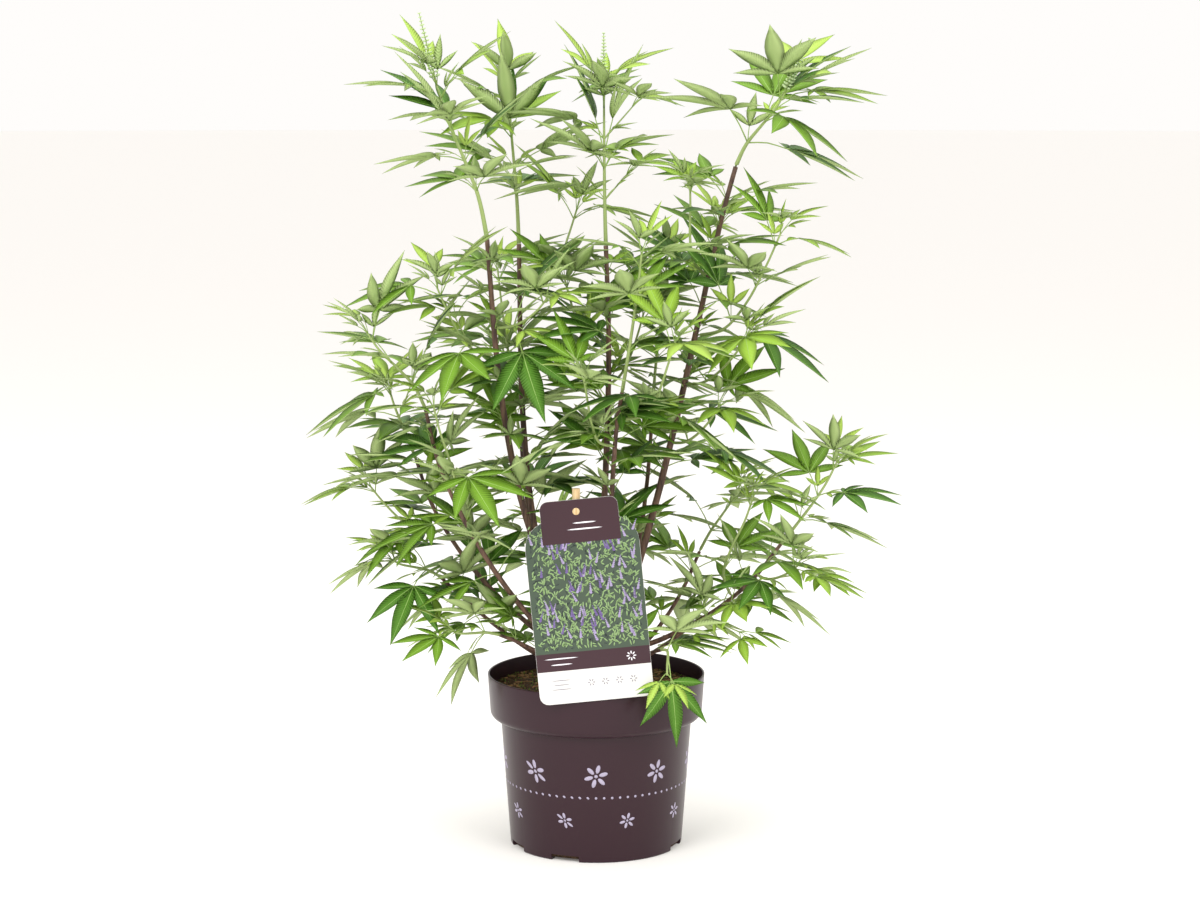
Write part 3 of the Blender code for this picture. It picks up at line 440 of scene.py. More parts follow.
def make_materials():
    # Living leaves: a soft waxy skin, dull green with a broad sheen. Older ones are deeper.
    made = {
        "deep leaf": leaf_surface("deep_green_leaf", "#528026", 0.5, 0.5),
        "grown leaf": leaf_surface("grown_green_leaf", "#76A030", 0.5, 0.5),
        "fresh leaf": leaf_surface("fresh_green_leaf", "#98BE42", 0.52, 0.45),
        "young leaf": leaf_surface("young_lime_leaf", "#ACCB58", 0.55, 0.4),
        # Short pale down turns the underside's green to grey and takes the sheen off.
        "underside": leaf_surface("downy_leaf_underside", "#A9BE7C", 0.75, 0.6),
    }
    plain = {
        # Midribs are paler than the blade and a little shiny.
        "midrib": ("pale_midrib", "#A9C873", 0.5),
        # Stalks and young stems are light green with a dull skin.
        "stalk": ("green_leaf_stalk", "#93AE5C", 0.5),
        "green stem": ("green_young_stem", "#95A765", 0.55),
        # Buds are dusty grey-green before they open.
        "bud": ("downy_flower_bud", "#BCCF9C", 0.8),
        # Screen-printing ink on the pot: flat, pale lilac grey.
        "pot ink": ("pale_lilac_ink", "#A79EB4", 0.5),
        # Peat dries to lighter brown crumbs, with no shine.
        "crumb": ("dry_peat_crumb", "#5A4430", 0.95, 0.2),
        # Split bark shows its tan inside and scatters light.
        "chip": ("split_bark_chip", "#8A6A48", 0.9, 0.2),
        # Moss is a dull olive green, and its fine leaves take all the shine off.
        "moss": ("pot_moss", "#66763A", 0.95, 0.2),
        # Polypropylene card, printed and varnished, with a soft gloss. Its white is painted a
        # little grey: painted shade for the upright card.
        "card": ("varnished_white_card", "#DCDAD7", 0.35),
    }
    # Printing inks under the card's varnish, so they have its gloss.
    inks = {
        "plum ink": "#33141F",
        "picture ink": "#3C4B3B",
        "leaf ink": "#83A067",
        "dark ink": "#26352C",
        "lilac ink": "#A092B8",
        "violet ink": "#6B5790",
        "white ink": "#EDEAF0",
        "grey ink": "#8F8C94",
    }
    plain |= {ink: (ink.replace(" ", "_"), colour, 0.35) for ink, colour in inks.items()}
    made |= {key: new_material(*values)[0] for key, values in plain.items()}

    # Thin smooth bark on stems of a few years: brown with a plum cast, and fine long cracks.
    bark, shader = new_material("thin_plum_brown_bark", "#5B4038", 0.7)
    cracks = mottle(bark, shader, ("#45302C", "#7A5C4C"), 1000 / BARK_CRACK_MM, (1, 1, 0.16), 4)
    raise_surface(bark, shader, cracks, 0.6, 0.0006)

    # Injection-moulded polypropylene: deep plum brown, satin, with a faint mould grain.
    pot, shader = new_material("moulded_plum_polypropylene", "#2E1720", 0.3, 0.3)
    place = add_node(pot, "ShaderNodeTexCoord", {}).outputs["Object"]
    inputs = {"Vector": place, "Scale": 1000 / MOULD_GRAIN_MM, "Detail": 2.0}
    grain = add_node(pot, "ShaderNodeTexNoise", inputs).outputs["Fac"]
    raise_surface(pot, shader, grain, 0.12, 0.0002)

    # Peat compost: crumbly, nearly black where damp, with no shine.
    compost, shader = new_material("damp_peat_compost", "#3A2A1E", 0.95, 0.2)
    crumbs = mottle(compost, shader, ("#241912", "#55402C"), 1000 / COMPOST_CRUMB_MM, detail=5)
    raise_surface(compost, shader, crumbs, 1.0, 0.0015)

    # Bare cane: pale tan, dry, with faint fibres along it.
    cane, shader = new_material("bare_split_cane", "#CDAE82", 0.6, 0.35)
    fibres = mottle(cane, shader, ("#BB9A6C", "#D9C096"), 1000 / CANE_FIBRE_MM, (1, 1, 0.05))
    raise_surface(cane, shader, fibres, 0.3, 0.0003)
    return made | {"bark": bark, "pot": pot, "compost": compost, "cane": cane}


def add_piece(obj, slot, *nodes):
    """Puts a finished piece on the model, in place of the solids it stands for."""
    bpy.context.scene.collection.objects.link(obj)
    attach(obj, "root")
    if nodes:
        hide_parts(*nodes)
    return obj


def mesh_object(name, bm, material, sharp=SHARP_ANGLE):
    """Closes a bmesh into an object with one material, smooth up to an angle."""
    mesh = bpy.data.meshes.new(name)
    bm.to_mesh(mesh)
    bm.free()
    mesh.materials.append(material)
    mesh.shade_smooth()
    mesh.set_sharp_from_angle(angle=radians(sharp))
    return bpy.data.objects.new(name, mesh)


Pattern = namedtuple("Pattern", "corners faces slots")


def pattern_of(bm):
    """A small mesh as arrays, to be laid many times."""
    bmesh.ops.triangulate(bm, faces=bm.faces)
    bm.verts.index_update()
    corners = np.array([vert.co[:] for vert in bm.verts])
    faces = np.array([[vert.index for vert in face.verts] for face in bm.faces])
    slots = np.array([face.material_index for face in bm.faces])
    bm.free()
    return Pattern(corners, faces, slots)


def laid_object(name, copies, materials, blades=None):
    """One object from many laid copies, each a pattern and its own corners."""
    corners = np.concatenate([laid for pattern, laid in copies]).astype(np.float32)
    starts = np.cumsum([0] + [len(laid) for pattern, laid in copies])
    faces = np.concatenate([copy[0].faces + start for copy, start in zip(copies, starts)])
    slots = np.concatenate([pattern.slots for pattern, laid in copies])
    mesh = bpy.data.meshes.new(name)
    mesh.vertices.add(len(corners))
    mesh.vertices.foreach_set("co", corners.ravel())
    mesh.loops.add(faces.size)
    mesh.loops.foreach_set("vertex_index", faces.ravel().astype(np.int32))
    mesh.polygons.add(len(faces))
    mesh.polygons.foreach_set("loop_start", np.arange(0, faces.size, 3, dtype=np.int32))
    for material in materials:
        mesh.materials.append(material)
    mesh.polygons.foreach_set("material_index", slots.astype(np.int32))
    mesh.update(calc_edges=True)
    if blades is not None:
        places = np.concatenate(blades).astype(np.float32)[faces.ravel()]
        mesh.uv_layers.new(name="Blade").data.foreach_set("uv", places.ravel())
    mesh.validate()
    mesh.shade_smooth()
    return bpy.data.objects.new(name, mesh)


def ball():
    bm = bmesh.new()
    bmesh.ops.create_icosphere(bm, subdivisions=1, radius=1)
    return bm


def rod_pattern(sides, stretches):
    """A round rod of radius 1 from height 0 to 1, to be bent along a line."""
    bm = bmesh.new()
    bmesh.ops.create_cone(
        bm, cap_ends=True, cap_tris=False, segments=sides, radius1=1, radius2=1, depth=1
    )
    upright = [edge for edge in bm.edges if abs(edge.verts[0].co.z - edge.verts[1].co.z) > 0.5]
    bmesh.ops.subdivide_edges(bm, edges=upright, cuts=stretches - 1)
    bmesh.ops.translate(bm, vec=(0, 0, 0.5), verts=bm.verts)
    return pattern_of(bm)


def bent(rod, line, start_radius, end_radius, girth=1.0):
    """The rod's corners, bent along a line and tapered."""
    line = np.array([tuple(point) for point in line])
    steps = np.linalg.norm(np.diff(line, axis=0), axis=1)
    run = np.concatenate([[0], np.cumsum(steps)]) / steps.sum()
    ahead = np.gradient(line, axis=0)
    level = np.cross(ahead[0], ahead[-1])
    if np.linalg.norm(level) < 1e-3 * np.linalg.norm(ahead[0]) * np.linalg.norm(ahead[-1]):
        level = np.cross(ahead[0], (0, 1, 0) if abs(ahead[0][1]) < 0.8 * steps[0] else (1, 0, 0))
    part = rod.corners[:, 2]
    place = np.stack([np.interp(part, run, line[:, k]) for k in range(3)], axis=1)
    heading = np.stack([np.interp(part, run, ahead[:, k]) for k in range(3)], axis=1)
    heading /= np.linalg.norm(heading, axis=1)[:, None]
    side = np.cross(heading, level)
    side /= np.linalg.norm(side, axis=1)[:, None]
    other = np.cross(heading, side)
    radius = (start_radius + (end_radius - start_radius) * part) * girth
    return place + (rod.corners[:, :1] * side + rod.corners[:, 1:2] * other) * radius[:, None]


def placed(pattern, matrix):
    turn = np.array(matrix.to_3x3())
    return pattern.corners @ turn.T + np.array(matrix.translation)


def rounded(points, count):
    """A smooth line through points, with count stretches between each two."""
    ends = [2 * points[0] - points[1], *points, 2 * points[-1] - points[-2]]
    line = []
    for a, b, c, d in zip(ends, ends[1:], ends[2:], ends[3:]):
        line += interpolate_bezier(b, b + (c - a) / 6, c - (d - b) / 6, c, count + 1)[:-1]
    return line + [points[-1]]


def arc(centre, radius, start, end, count):
    """Points on a circular arc, angles in degrees."""
    turn = [radians(start + (end - start) * i / count) for i in range(count + 1)]
    return [(centre[0] + radius * cos(a), centre[1] + radius * sin(a)) for a in turn]


def spun(profile, steps):
    """A profile of (radius, height) points spun about Z into a closed shell."""
    bm = bmesh.new()
    verts = [bm.verts.new((radius, 0, height)) for radius, height in profile]
    edges = [bm.edges.new(pair) for pair in zip(verts, verts[1:])]
    ring = {"cent": (0, 0, 0), "axis": UP, "angle": tau, "steps": steps, "use_merge": True}
    bmesh.ops.spin(bm, geom=verts + edges, **ring)
    bmesh.ops.remove_doubles(bm, verts=bm.verts, dist=MERGE_DISTANCE)
    bmesh.ops.recalc_face_normals(bm, faces=bm.faces)
    return bm


def pot_side(inset):
    """The pot's outer side from foot to rim, moved in towards its axis."""
    centre = (BAND_FOOT_RADIUS - BAND_ROUNDING, BAND_FOOT_HEIGHT + BAND_ROUNDING)
    side = [(BASE_RADIUS - inset, 0), (NECK_RADIUS - inset, BAND_FOOT_HEIGHT + inset)]
    side += arc(centre, BAND_ROUNDING - inset, -90, 0, BAND_STEPS)
    side.append((RIM_RADIUS - inset, POT_HEIGHT))
    return side


def pot_radius(height):
    return BASE_RADIUS + (NECK_RADIUS - BASE_RADIUS) * height / BAND_FOOT_HEIGHT


def build_pot(made):
    """The pot's wall, spun in one piece, with the drain slots cut through its foot."""
    inner = pot_side(POT_WALL)
    slope = (NECK_RADIUS - BASE_RADIUS) / BAND_FOOT_HEIGHT
    inner[0] = (inner[0][0] + slope * POT_FLOOR, POT_FLOOR)
    outer = pot_side(0)[::-1]
    lip = POT_WALL / 2
    outer[0:1] = arc((RIM_RADIUS - lip, POT_HEIGHT - lip), lip, 180, 0, LIP_STEPS)
    foot = (BASE_RADIUS - FOOT_ROUNDING, FOOT_ROUNDING)
    outer[-1:] = arc(foot, FOOT_ROUNDING, 0, -90, FOOT_STEPS)
    profile = [(0, POT_FLOOR)] + inner[:-1] + outer + [(0, 0)]
    pot = mesh_object("nursery_pot", spun(profile, POT_STEPS), made["pot"])
    slots = bmesh.new()
    for step in range(DRAIN_STEPS):
        if step == DRAIN_LEFT_OUT:
            continue
        bearing = radians(DRAIN_FIRST_BEARING + step * 360 / DRAIN_STEPS - 90)
        turn = Matrix.Rotation(bearing, 4, "Z") @ Matrix.Translation((BASE_RADIUS, 0, 0))
        size = Matrix.Diagonal((2 * DRAIN_DEPTH, DRAIN_WIDTH, 2 * DRAIN_HEIGHT, 1))
        bmesh.ops.create_cube(slots, size=1, matrix=turn @ size)
    cutter = mesh_object("drain_slots", slots, made["pot"])
    for obj in (pot, cutter):
        bpy.context.scene.collection.objects.link(obj)
    cut = pot.modifiers.new("Drain", "BOOLEAN")
    cut.operation = "DIFFERENCE"
    cut.object = cutter
    cut.solver = "EXACT"
    bpy.context.view_layer.update()
    mesh = bpy.data.meshes.new_from_object(
        pot.evaluated_get(bpy.context.evaluated_depsgraph_get())
    )
    for obj in (pot, cutter):
        bpy.data.objects.remove(obj)
    mesh.shade_smooth()
    mesh.set_sharp_from_angle(angle=radians(SHARP_ANGLE))
    add_piece(bpy.data.objects.new("nursery_pot", mesh), "pot", "pot")


def disc_pattern(sides):
    """A thin round plate of radius 1 and thickness 1, from height 0 up."""
    bm = bmesh.new()
    raised = Matrix.Translation((0, 0, 0.5))
    bmesh.ops.create_cone(
        bm, cap_ends=True, segments=sides, radius1=1, radius2=0.97, depth=1, matrix=raised
    )
    return pattern_of(bm)


def dab(disc, base, height, thick, across, up, long, wide, bearing):
    """A disc's corners as a flat dab of ink, on a base whose x runs across and y up."""
    place = base @ Matrix.Translation((across, up, height)) @ Matrix.Rotation(bearing, 4, "Z")
    return placed(disc, place @ Matrix.Diagonal((long, wide, thick, 1)))


def rosette(across, up, petals, spread, long, wide, turn=0.0):
    """Petals round a middle: each one's place, half sizes and bearing in radians."""
    for petal in range(petals):
        bearing = tau * petal / petals + turn
        place = (across + spread * cos(bearing), up + spread * sin(bearing))
        yield *place, long, wide, bearing


def on_pot(corners):
    """Wraps flat artwork, its x round the pot and its y up from the foot, on to the pot's side."""
    radius = pot_radius(corners[:, 1])
    bearing = corners[:, 0] / radius - pi / 2
    out = radius - PRINT_SUNK * PRINT_RELIEF + corners[:, 2]
    return np.stack([out * np.cos(bearing), out * np.sin(bearing), corners[:, 1]], axis=1)


def build_pot_print(made):
    marks = []
    for height, size, stagger in ROSETTE_ROWS:
        radius = pot_radius(height)
        petal = [part * size for part in (PETAL_SPREAD, PETAL_LENGTH, PETAL_WIDTH)]
        eye = ROSETTE_EYE * size
        for step in range(ROSETTE_STEPS):
            middle = radians(stagger + step * 360 / ROSETTE_STEPS) * radius
            marks += rosette(middle, height, ROSETTE_PETALS, *petal, ROSETTE_TURN)
            marks.append((middle, height, eye, eye, 0))
    for step in range(DOT_STEPS):
        middle = tau * step / DOT_STEPS * pot_radius(DOT_HEIGHT)
        marks.append((middle, DOT_HEIGHT, DOT_RADIUS, DOT_RADIUS, 0))
    disc = disc_pattern(PRINT_SIDES)
    copies = [(disc, on_pot(dab(disc, Matrix(), 0, PRINT_RELIEF, *mark))) for mark in marks]
    add_piece(laid_object("pot_print", copies, [made["pot ink"]]), "pot")


def soil_height(radius):
    edge = RIM_RADIUS - POT_WALL
    beyond = max(0, radius - SOIL_FLAT_RADIUS) / (edge - SOIL_FLAT_RADIUS)
    return SOIL_TOP - SOIL_FALL * beyond


def scatter(pattern, litter, reach, draws):
    """Litter laid at random on the compost, as far as its reach."""
    copies = []
    for _ in range(litter.count):
        bearing = draws.uniform(0, tau)
        radius = sqrt(draws.uniform(litter.beyond**2, (reach - litter.edge_gap) ** 2))
        size = Vector([draws.uniform(low, high) for low, high in litter.sizes])
        level = soil_height(radius) + litter.lift * size.z
        place = Matrix.Translation((radius * cos(bearing), radius * sin(bearing), level))
        tilt = Matrix.Rotation(draws.uniform(-LITTER_TILT, LITTER_TILT), 4, "X")
        turn = Matrix.Rotation(draws.uniform(0, tau), 4, "Z") @ tilt
        copies.append((pattern, placed(pattern, place @ turn @ Matrix.Diagonal((*size, 1)))))
    return copies


def build_soil(made):
    """The compost, lumpy on top, and the litter on it."""
    inset = POT_WALL + GAP / 2
    side = pot_side(inset)
    side[0] = (side[0][0], POT_FLOOR + GAP)
    edge = soil_height(RIM_RADIUS)
    reach = RIM_RADIUS - inset - SOIL_WALL_GAP
    side[-1] = (reach, edge)
    rings = [reach * i / SOIL_RINGS for i in range(SOIL_RINGS)]
    top = [(radius, soil_height(radius)) for radius in rings]
    bm = spun(top + side[::-1] + [(0, POT_FLOOR + GAP)], SOIL_STEPS)
    for vert in bm.verts:
        radius = hypot(vert.co.x, vert.co.y)
        if vert.co.z > edge - SOIL_EDGE and radius < reach - SOIL_EDGE:
            lumps = noise.fractal(vert.co * LUMPS_PER_METRE, *LUMP_FRACTAL)
            vert.co.z += SOIL_RELIEF * lumps
    add_piece(mesh_object("compost", bm, made["compost"], ALL_SMOOTH), "soil", "soil")

    draws = random.Random(SEED)
    crumb = ball()
    for vert in crumb.verts:
        vert.co *= draws.uniform(*CRUMB_STRAY)
    chip = bmesh.new()
    bmesh.ops.create_cube(chip, size=1)
    edge = {"offset": CHIP_BEVEL, "segments": 1, "profile": 0.5, "material": -1, "affect": "EDGES"}
    bmesh.ops.bevel(chip, geom=chip.edges[:], offset_type="OFFSET", **edge)
    tuft = bmesh.new()
    bmesh.ops.create_cone(
        tuft, cap_ends=True, segments=TUFT_SIDES, radius1=TUFT_FOOT, radius2=TUFT_TOP, depth=1
    )
    for name, bm, litter, finish in (
        ("compost_crumbs", crumb, CRUMBS, "crumb"),
        ("bark_chips", chip, CHIPS, "chip"),
        ("moss_tufts", tuft, TUFTS, "moss"),
    ):
        copies = scatter(pattern_of(bm), litter, reach, draws)
        add_piece(laid_object(name, copies, [made[finish]]), "soil")


def card_matrix():
    """The label leans back from its foot, and hangs a little askew."""
    lean = Matrix.Rotation(radians(90 - CARD_LEAN), 4, "X")
    tilt = Matrix.Rotation(radians(CARD_TILT), 4, "Z")
    return Matrix.Translation(CARD_FOOT) @ lean @ tilt


def card_outline(inset):
    """The label's outline, drawn in a little, from bottom right round to bottom left."""
    half, head = CARD_WIDTH / 2 - inset, HEADER_WIDTH / 2 - inset
    corner, shoulder, top = CARD_CORNER, CARD_SHOULDER, HEADER_CORNER
    right = arc((half - corner, corner + inset), corner, -90, 0, CORNER_STEPS)
    turn = degrees(acos((head - half + shoulder) / shoulder))
    bend = (half - shoulder, CARD_HEIGHT - inset - shoulder)
    right += arc(bend, shoulder, 0, turn, SHOULDER_STEPS)
    right += arc((head - top, HEADER_TOP - inset - top), top, 0, 90, HEADER_STEPS)
    return right + [(-across, up) for across, up in reversed(right)]


def card_panel(low, high, reach, layer):
    """A layer of ink over the label between two heights, and as far as reach to either side."""
    bm = bmesh.new()
    bm.faces.new([bm.verts.new((across, up, 0)) for across, up in card_outline(INK_INSET)])
    cuts = ((0, low, 0, -1), (0, high, 0, 1), (reach, 0, 1, 0), (-reach, 0, -1, 0))
    for across, up, *outward in cuts:
        plane = {"plane_co": (across, up, 0), "plane_no": (*outward, 0), "clear_outer": True}
        bmesh.ops.bisect_plane(bm, geom=bm.verts[:] + bm.edges[:] + bm.faces[:], **plane)
    grown = bmesh.ops.extrude_face_region(bm, geom=bm.faces[:])
    risen = [item for item in grown["geom"] if isinstance(item, bmesh.types.BMVert)]
    bmesh.ops.translate(bm, vec=(0, 0, INK), verts=risen)
    bmesh.ops.recalc_face_normals(bm, faces=bm.faces)
    bm.transform(card_matrix() @ Matrix.Translation((0, 0, CARD_THICKNESS / 2 + layer * INK)))
    return bm


def picture_dabs():
    """A bed of leaves with spikes of flowers. Each dab has its ink and layer, and where it lies."""
    draws = random.Random(SEED)
    for ink, count, layer in LEAF_DABS:
        for _ in range(count):
            across, up = draws.uniform(-PICTURE_REACH, PICTURE_REACH), draws.uniform(*LEAF_DABS_UP)
            long, turn = draws.uniform(*LEAF_DAB_LENGTH), draws.uniform(*LEAF_DAB_TURN)
            yield ink, layer, across, up, long, LEAF_DAB_WIDTH, turn
    for _ in range(FLOWERS):
        across, up = draws.uniform(-PICTURE_REACH, PICTURE_REACH), draws.uniform(*FLOWERS_UP)
        lean = draws.uniform(-FLOWER_LEAN, FLOWER_LEAN)
        ink = draws.choice(FLOWER_INKS)
        for step in range(FLOWER_DABS):
            place = (across + lean * step * FLOWER_DAB, up + step * FLOWER_RISE)
            size = FLOWER_DAB * (1 - FLOWER_TAPER * step)
            yield ink, FLOWER_LAYER, *place, size, size * FLOWER_WIDTH, lean


def mark_dabs():
    """Plain lines and rosettes, in place of words and signs."""
    for ink, layer, wide, across, lines in LABEL_LINES:
        for up, long in lines:
            yield ink, layer, across, up, long, wide, 0
    for ink, layer, places, up, *petals in LABEL_ROSETTES:
        for across in places:
            for petal in rosette(across, up, *petals):
                yield ink, layer, *petal


def build_label(made):
    """The card keeps its solid. Its print is thin layers of ink: panels, a picture and marks."""
    for name, (low, high, reach, ink, layer) in LABEL_PANELS.items():
        panel = card_panel(low, high, reach, layer)
        add_piece(mesh_object(name, panel, made[ink]), "label")
    disc, card, layers = disc_pattern(INK_SIDES), card_matrix(), {}
    for ink, layer, *mark in (*picture_dabs(), *mark_dabs()):
        height = CARD_THICKNESS / 2 + INK * (0.5 + layer)
        layers.setdefault(ink, []).append((disc, dab(disc, card, height, INK, *mark)))
    for ink, copies in layers.items():
        name = "label_" + ink.replace(" ", "_")
        add_piece(laid_object(name, copies, [made[ink]]), "label")


def bough_points(bough):
    bearing, pitch = radians(bough.bearing), radians(bough.pitch)
    level = cos(pitch)
    leaving = Vector((level * cos(bearing), level * sin(bearing), sin(pitch)))
    foot = HEAD_HEIGHT * UP + leaving * (HEAD_RADIUS + GAP)
    stub = foot + leaving * BOUGH_STUB
    tip = Vector(bough.tip)
    handle = stub + leaving * BOUGH_LEAVING * (tip - foot).length
    return [foot] + interpolate_bezier(stub, handle, Vector(bough.bend), tip, BOUGH_STRETCHES + 1)


def along_line(points, part):
    """The place on a line of points, and the line's direction there."""
    lengths = [(b - a).length for a, b in zip(points, points[1:])]
    left = part * sum(lengths)
    for a, b, length in zip(points, points[1:], lengths):
        if left <= length or b is points[-1]:
            return a + (b - a) * min(left / length, 1), (b - a).normalized()
        left -= length


def shoot_points(shoot, lines):
    """The shoot's stem, from its bough to its own tip, and its radius where it starts."""
    bough = BOUGHS[shoot.bough]
    place, direction = along_line(lines[shoot.bough], shoot.along)
    tip = Vector(shoot.tip)
    if shoot.along == 1:
        leaving, clear, radius = direction, GAP, bough.tip_radius
    else:
        aside = tip - place
        leaving = (aside - direction * aside.dot(direction)).normalized()
        bough_radius = bough.foot_radius + (bough.tip_radius - bough.foot_radius) * shoot.along
        clear, radius = bough_radius + GAP, SIDE_SHOOT_RADIUS
    start = place + leaving * clear
    stub = start + leaving * SHOOT_STUB
    reach = tip - stub
    rise = UP if reach.z > 0 else -UP
    arriving = (reach.normalized() + rise * SHOOT_RISE).normalized()
    handle = stub + leaving * SHOOT_LEAVING * reach.length
    before = tip - arriving * SHOOT_ARRIVING * reach.length
    return [start] + interpolate_bezier(stub, handle, before, tip, SHOOT_STRETCHES + 1), radius


def leaf_frame(start, outward, length, droop, roll):
    """The frame of a leaf on its stalk. Its middle leaflet points along X and its face up."""
    hub = start + outward * STALK_PART * length
    level = Vector((outward.x, outward.y, 0))
    level = level.normalized() if level.length > LEAST_LEVEL else Vector((1, 0, 0))
    forward = outward * cos(droop) + (level * LEAF_OUTREACH - UP) * sin(droop)
    forward.normalize()
    side = UP.cross(forward)
    side = side.normalized() if side.length > LEAST_SIDE else Vector((1, 0, 0))
    frame = Matrix((forward, side, forward.cross(side))).transposed().to_4x4()
    return Matrix.Translation(hub) @ frame @ Matrix.Rotation(roll, 4, "X")


def leaflet_line(frame, bearing, reach):
    """Places from a leaflet's foot to its tip."""
    turn = frame @ Matrix.Rotation(radians(bearing), 4, "Z")
    parts = [i / ROOM_STEPS for i in range(ROOM_STEPS + 1)]
    return [turn @ Vector((reach * part, 0, -LEAFLET_DROOP * reach * part**2)) for part in parts]


def has_room(frame, length, leaflets):
    """Whether a leaf keeps inside the crown, above the compost and off the label."""
    for bearing, part in leaflets:
        for place in leaflet_line(frame, bearing, part * length):
            inside = (
                CROWN_LEFT < place.x < CROWN_RIGHT
                and CROWN_FRONT < place.y < CROWN_BACK
                and LEAST_LEAF_HEIGHT < place.z < CROWN_TOP
            )
            in_front = place.y < CARD_CLEAR_FRONT and place.z < CARD_CLEAR_TOP
            if not inside or (in_front and abs(place.x) < CARD_CLEAR):
                return False
    return True


Leaf = namedtuple("Leaf", "start frame length leaflets age")


def corner_tree(solid):
    tree = KDTree(len(solid.data.vertices))
    for i, vert in enumerate(solid.data.vertices):
        tree.insert(vert.co, i)
    tree.balance()
    return tree


class Plant:
    """Collects the stems, stalks and leaves as they grow."""

    def __init__(self, solids):
        self.corners = {name: corner_tree(solids[name]) for name in SHOOTS}
        self.leaves, self.stems, self.spikes = [], [], []
        self.extra = random.Random(GROWTH_SEED)

    def leaf_near(self, name, start, along, side, pitch, length, leaflets, draws, age):
        """Lays a leaf on its solid, or where that has none, at its first bearing if it has room."""
        droop = radians(draws.uniform(*LEAF_DROOP))
        roll = radians(draws.uniform(-LEAF_ROLL, LEAF_ROLL))
        pitch = radians(pitch)
        first = None
        for swing in LEAF_SWINGS:
            aside = Matrix.Rotation(radians(swing), 3, along) @ side
            outward = (aside * cos(pitch) + along * sin(pitch)).normalized()
            frame = leaf_frame(start, outward, length, droop, roll)
            first = first or frame
            tip = frame @ Vector((length, 0, -LEAFLET_DROOP * length))
            if self.corners[name].find(tip)[2] < LEAF_MATCH:
                self.leaves.append(Leaf(start, frame, length, leaflets, age))
                return
        if has_room(first, length, leaflets):
            self.leaves.append(Leaf(start, first, length, leaflets, age))

    def extra_leaf(self, start, along, side, pitch, length, leaflets, age):
        """A leaf that is too fine for the solids, laid where it has room."""
        droop = radians(self.extra.uniform(*LEAF_DROOP))
        roll = radians(self.extra.uniform(-LEAF_ROLL, LEAF_ROLL))
        pitch = radians(pitch)
        outward = (side * cos(pitch) + along * sin(pitch)).normalized()
        frame = leaf_frame(start, outward, length, droop, roll)
        if has_room(frame, length, leaflets):
            self.leaves.append(Leaf(start, frame, length, leaflets, age))

    def grow_twig(self, name, start, along, side, leaf, draws):
        outward = (side + along * TWIG_RISE).normalized()
        tip = start + outward * TWIG_LENGTH * draws.uniform(*TWIG_LENGTH_STRAY)
        if self.corners[name].find(tip)[2] > TWIG_MATCH:
            return
        self.stems.append(([start, tip], TWIG_RADIUS, TWIG_RADIUS * STALK_TAPER))
        across = outward.cross(UP)
        across = across.normalized() if across.length > LEAST_SIDE else Vector((1, 0, 0))
        place, length = tip - outward * TWIG_LEAF_SETBACK, leaf * TWIG_LEAF_PART
        grown = (TWIG_LEAF_PITCH, length, SMALL_LEAF)
        top = (TWIG_TOP_PITCH, length * TWIG_TOP_PART, SMALL_LEAF, TWIG_TOP_AGE)
        for turn in (1, -1):
            self.leaf_near(name, place, outward, across * turn, *grown, draws, TWIG_LEAF_AGE)
            self.extra_leaf(place, outward, across * turn, *top)

    def grow_shoot(self, name, shoot, seed, lines):
        points, radius = shoot_points(shoot, lines)
        self.stems.append((rounded(points, STEM_STEPS), radius, SHOOT_TIP_RADIUS))
        draws = random.Random(seed)
        first_along = along_line(points, FIRST_PAIR_ALONG)[1]
        side = first_along.cross(Vector((0, 1, 0)))
        side = side if side.length > LEAST_ACROSS else first_along.cross(Vector((1, 0, 0)))
        side = Matrix.Rotation(draws.uniform(0, tau), 3, first_along) @ side.normalized()
        for pair in range(shoot.pairs):
            run = LAST_PAIR_ALONG - FIRST_PAIR_ALONG
            part = FIRST_PAIR_ALONG + run * pair / max(1, shoot.pairs - 1)
            place, along = along_line(points, part)
            side = (side - along * side.dot(along)).normalized()
            shrink = 1 - LEAF_SHRINK * pair / shoot.pairs
            length = shoot.leaf * shrink * draws.uniform(*PAIR_LENGTH_STRAY)
            pitch = LEAF_PITCH + LEAF_PITCH_GAIN * part
            twig_side = draws.choice((1, -1)) if draws.random() < TWIG_CHANCE else 0
            for turn in (1, -1):
                stem = (place, along, side * turn)
                if turn == twig_side and pair < shoot.pairs - 1:
                    self.grow_twig(name, *stem, shoot.leaf, draws)
                else:
                    age = LEAF_AGE + LEAF_AGE_GAIN * part
                    age += self.extra.uniform(-LEAF_AGE_STRAY, LEAF_AGE_STRAY)
                    self.leaf_near(name, *stem, pitch, length, FULL_LEAF, draws, age)
                if self.extra.random() < TUFT_CHANCE:
                    tuft = length * self.extra.uniform(*TUFT_PART)
                    rise = self.extra.uniform(*TUFT_PITCH)
                    self.extra_leaf(*stem, rise, tuft, SMALL_LEAF, TUFT_AGE)
            turned_by = PAIR_TURN + draws.uniform(-PAIR_STRAY, PAIR_STRAY)
            side = Matrix.Rotation(radians(turned_by), 3, along) @ side
        self.grow_tip(name, shoot, points, side, draws)

